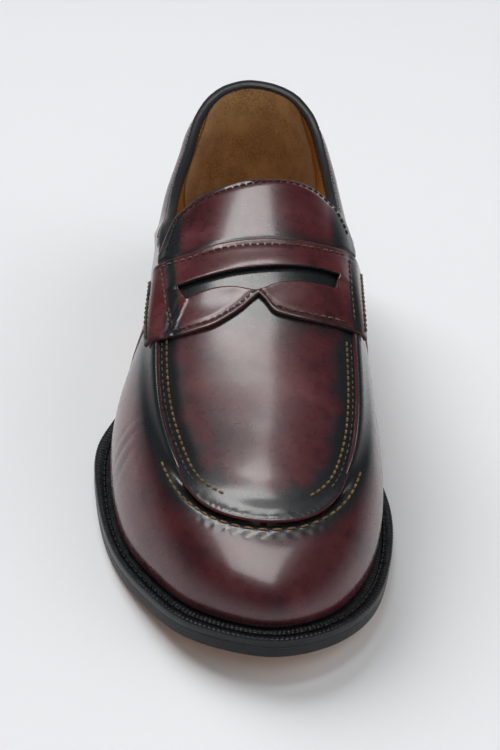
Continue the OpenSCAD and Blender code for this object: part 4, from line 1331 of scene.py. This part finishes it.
runs = faint
u = np.linspace(-0.955, 0.935, 500)
runs.append(run_on(strap, across, hz(STRAP_TOP, u) + 0.078, u, 2.9, radius=0.36, fill=0.8))
u = np.linspace(-0.80, 0.0, 260)
runs.append(run_on(strap, across, hz(STRAP_LOW_L, u) - 0.085, u, 2.9, radius=0.36, fill=0.8))
u = np.linspace(0.02, 0.925, 260)
runs.append(run_on(strap, across, hz(STRAP_LOW_R, u) - 0.085, u, 2.9, radius=0.36, fill=0.8))
q = np.linspace(0, 1, 160)
runs.append(run_on(strap, across, 6.96 + 0.98 * q, -0.945 + 0.12 * q, 2.9, radius=0.34, fill=0.8))
runs.append(run_on(strap, across, 7.62 + 0.34 * q, -0.845 + 0.06 * q, 2.9, radius=0.34, fill=0.8))
runs.append(run_on(strap, across, 6.68 + 1.08 * q, 0.935 + 0.0 * q, 2.9, radius=0.34, fill=0.8))
runs.append(run_on(strap, across, 6.9 + 1.12 * q, -1.135 + 0.105 * q, 2.6, radius=0.55, fill=0.86))
runs.append(run_on(strap, across, 6.58 + 1.2 * q, 1.14 - 0.1 * q, 2.6, radius=0.45, fill=0.86))
threads("strap_thread", runs, M_THREAD_S, replaces=("strap_stitching",))

u = np.linspace(-0.95, 0.97, 500)
st = hz(TONGUE_TOP, u) + 0.068 + 0.05 * sm((np.abs(u) - 0.75) / 0.15)
run = run_on(tongue, across, st, u * (1 - 0.05 * sm((np.abs(u) - 0.75) / 0.2)), 2.9, radius=0.36, fill=0.8)
tt_ob = threads("tongue_thread", [run], M_THREAD_D, body=None, replaces=("tongue_stitching",))
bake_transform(tt_ob)

S = np.linspace(-6.0, 6.2, 900)
p, m, n = bind_frame(S)
si = (0.75 * (1 - sm((np.abs(S) - 5.5) / 0.8)))[:, None]
runs = [thread_run(p + n * (0.62 - si) - m * 1.7, n, 2.6, radius=0.22, fill=0.7)]
runs.append(thread_run(p - n * (3.86 + si) - m * (3.3 * inner_leg(S) - 0.3)[:, None], -n, 2.6, radius=0.17, fill=0.7))
for sg in (-1, 1):
    t = np.linspace(0.03, 0.86, 200)
    a = sg * np.interp(t, [0, 0.3, 0.7, 0.9], [0.48, 0.55, 0.73, 0.87])
    runs.append(run_on(backs, wall, a, t, 2.8, radius=0.3, fill=0.74))
threads("topline_thread", runs, M_THREAD_D, replaces=("topline_stitching",))

S = np.linspace(4.62, 21.38, 2400)
E, Fe = plan(S, 0), plan(S, 2)
P2 = E * 0.5 + Fe * 0.5
P3 = np.c_[P2, zb(P2[:, 1]) + ZF - 0.25]
runs = [thread_run(P3, np.tile([0, 0, 1.0], (len(P3), 1)), 3.3, radius=0.5, fill=0.82, sink=0.3)]
threads("welt_thread", runs, M_WELT, replaces=("welt_stitching",))

# ------------------------------------------------------------------ floor, light, camera
def floor():
    me = bpy.data.meshes.new("floor")
    s = 6.0
    me.from_pydata([(-s, -s, -0.0002), (s, -s, -0.0002), (s, s, -0.0002), (-s, s, -0.0002)], [], [(0, 1, 2, 3)])
    ob = bpy.data.objects.new("floor", me)
    bpy.context.scene.collection.objects.link(ob)
    m, nt, b = nodes_of("pale_floor")
    b.inputs["Base Color"].default_value = (0.83, 0.835, 0.845, 1)
    b.inputs["Roughness"].default_value = 0.85
    b.inputs["Specular IOR Level"].default_value = 0.2
    me.materials.append(m)


floor()
sc = bpy.context.scene
w = bpy.data.worlds.new("studio")
sc.world = w
w.use_nodes = True
bg = w.node_tree.nodes["Background"]
wt = w.node_tree
tc_ = wt.nodes.new("ShaderNodeTexCoord")
sp_ = wt.nodes.new("ShaderNodeSeparateXYZ")
wt.links.new(tc_.outputs["Generated"], sp_.inputs[0])
rp_ = wt.nodes.new("ShaderNodeValToRGB")
for e_, (p_, c_) in zip([rp_.color_ramp.elements[0], rp_.color_ramp.elements[1]], ((0.0, 0.62), (0.62, 0.055))):
    e_.position = p_
    e_.color = (c_ * 0.95, c_ * 0.98, c_, 1)
rp_.color_ramp.interpolation = "EASE"
wt.links.new(sp_.outputs["Z"], rp_.inputs[0])
wt.links.new(rp_.outputs[0], bg.inputs[0])
bg.inputs[1].default_value = 1.0


def area(name, loc, at, size, size_y, power, color=(1, 1, 1)):
    d = bpy.data.lights.new(name, "AREA")
    d.shape = "RECTANGLE"
    d.size, d.size_y, d.energy, d.color = size, size_y, power, color
    o = bpy.data.objects.new(name, d)
    o.location = loc
    o.rotation_euler = (Vector(at) - Vector(loc)).to_track_quat("-Z", "Y").to_euler()
    sc.collection.objects.link(o)
    return o


def sun(name, frm, strength, angle, color=(1, 1, 1)):
    d = bpy.data.lights.new(name, "SUN")
    d.energy, d.angle, d.color = strength, math.radians(angle), color
    o = bpy.data.objects.new(name, d)
    o.visible_glossy = False
    o.rotation_euler = (-Vector(frm)).to_track_quat("-Z", "Y").to_euler()
    sc.collection.objects.link(o)
    return o


area("overhead", (-0.05, 0.098, 0.95), (0.0, -0.02, 0.0), 0.31, 0.145, 1.4, (1.0, 0.985, 0.975))
front = area("front", (-0.05, -0.31, 0.95), (0.0, -0.12, 0.03), 0.52, 0.5, 4.4, (1.0, 0.985, 0.975))
front.visible_diffuse = False
sun("left_back", (-0.5, 0.85, 0.85), 2.6, 36, (0.97, 0.985, 1.0))
sun("front_top", (0.15, -0.8, 1.0), 0.35, 60, (1.0, 0.99, 0.98))
sun("right", (0.85, 0.1, 0.6), 0.85, 60, (0.97, 0.985, 1.0))

sc.view_settings.view_transform = "Standard"
sc.view_settings.look = "None"


def camera():
    D, el, az, tx, ty, f, roll = 531.5, 34.9, -4.2, 0.1, -22.3, 1316.0, 4.6
    el, az, roll = (math.radians(x) for x in (el, az, roll))
    T = np.array([tx + MX, ty, 35.0])
    back = np.array([math.sin(az) * math.cos(el), -math.cos(az) * math.cos(el), math.sin(el)])
    C = T + back * D
    right = np.cross(-back, [0, 0, 1.0]); right /= np.linalg.norm(right)
    up = np.cross(right, -back)
    r2 = right * math.cos(roll) + up * math.sin(roll)
    u2 = -right * math.sin(roll) + up * math.cos(roll)
    cd = bpy.data.cameras.new("camera")
    cd.sensor_width = 36
    cd.lens = f / 750 * 36
    cd.clip_start, cd.clip_end = 0.01, 50
    co = bpy.data.objects.new("camera", cd)
    sc.collection.objects.link(co)
    M = Matrix(((r2[0], u2[0], back[0], C[0] / 1000), (r2[1], u2[1], back[1], C[1] / 1000), (r2[2], u2[2], back[2], C[2] / 1000), (0, 0, 0, 1)))
    co.matrix_world = M
    sc.camera = co


camera()
bpy.context.view_layer.update()
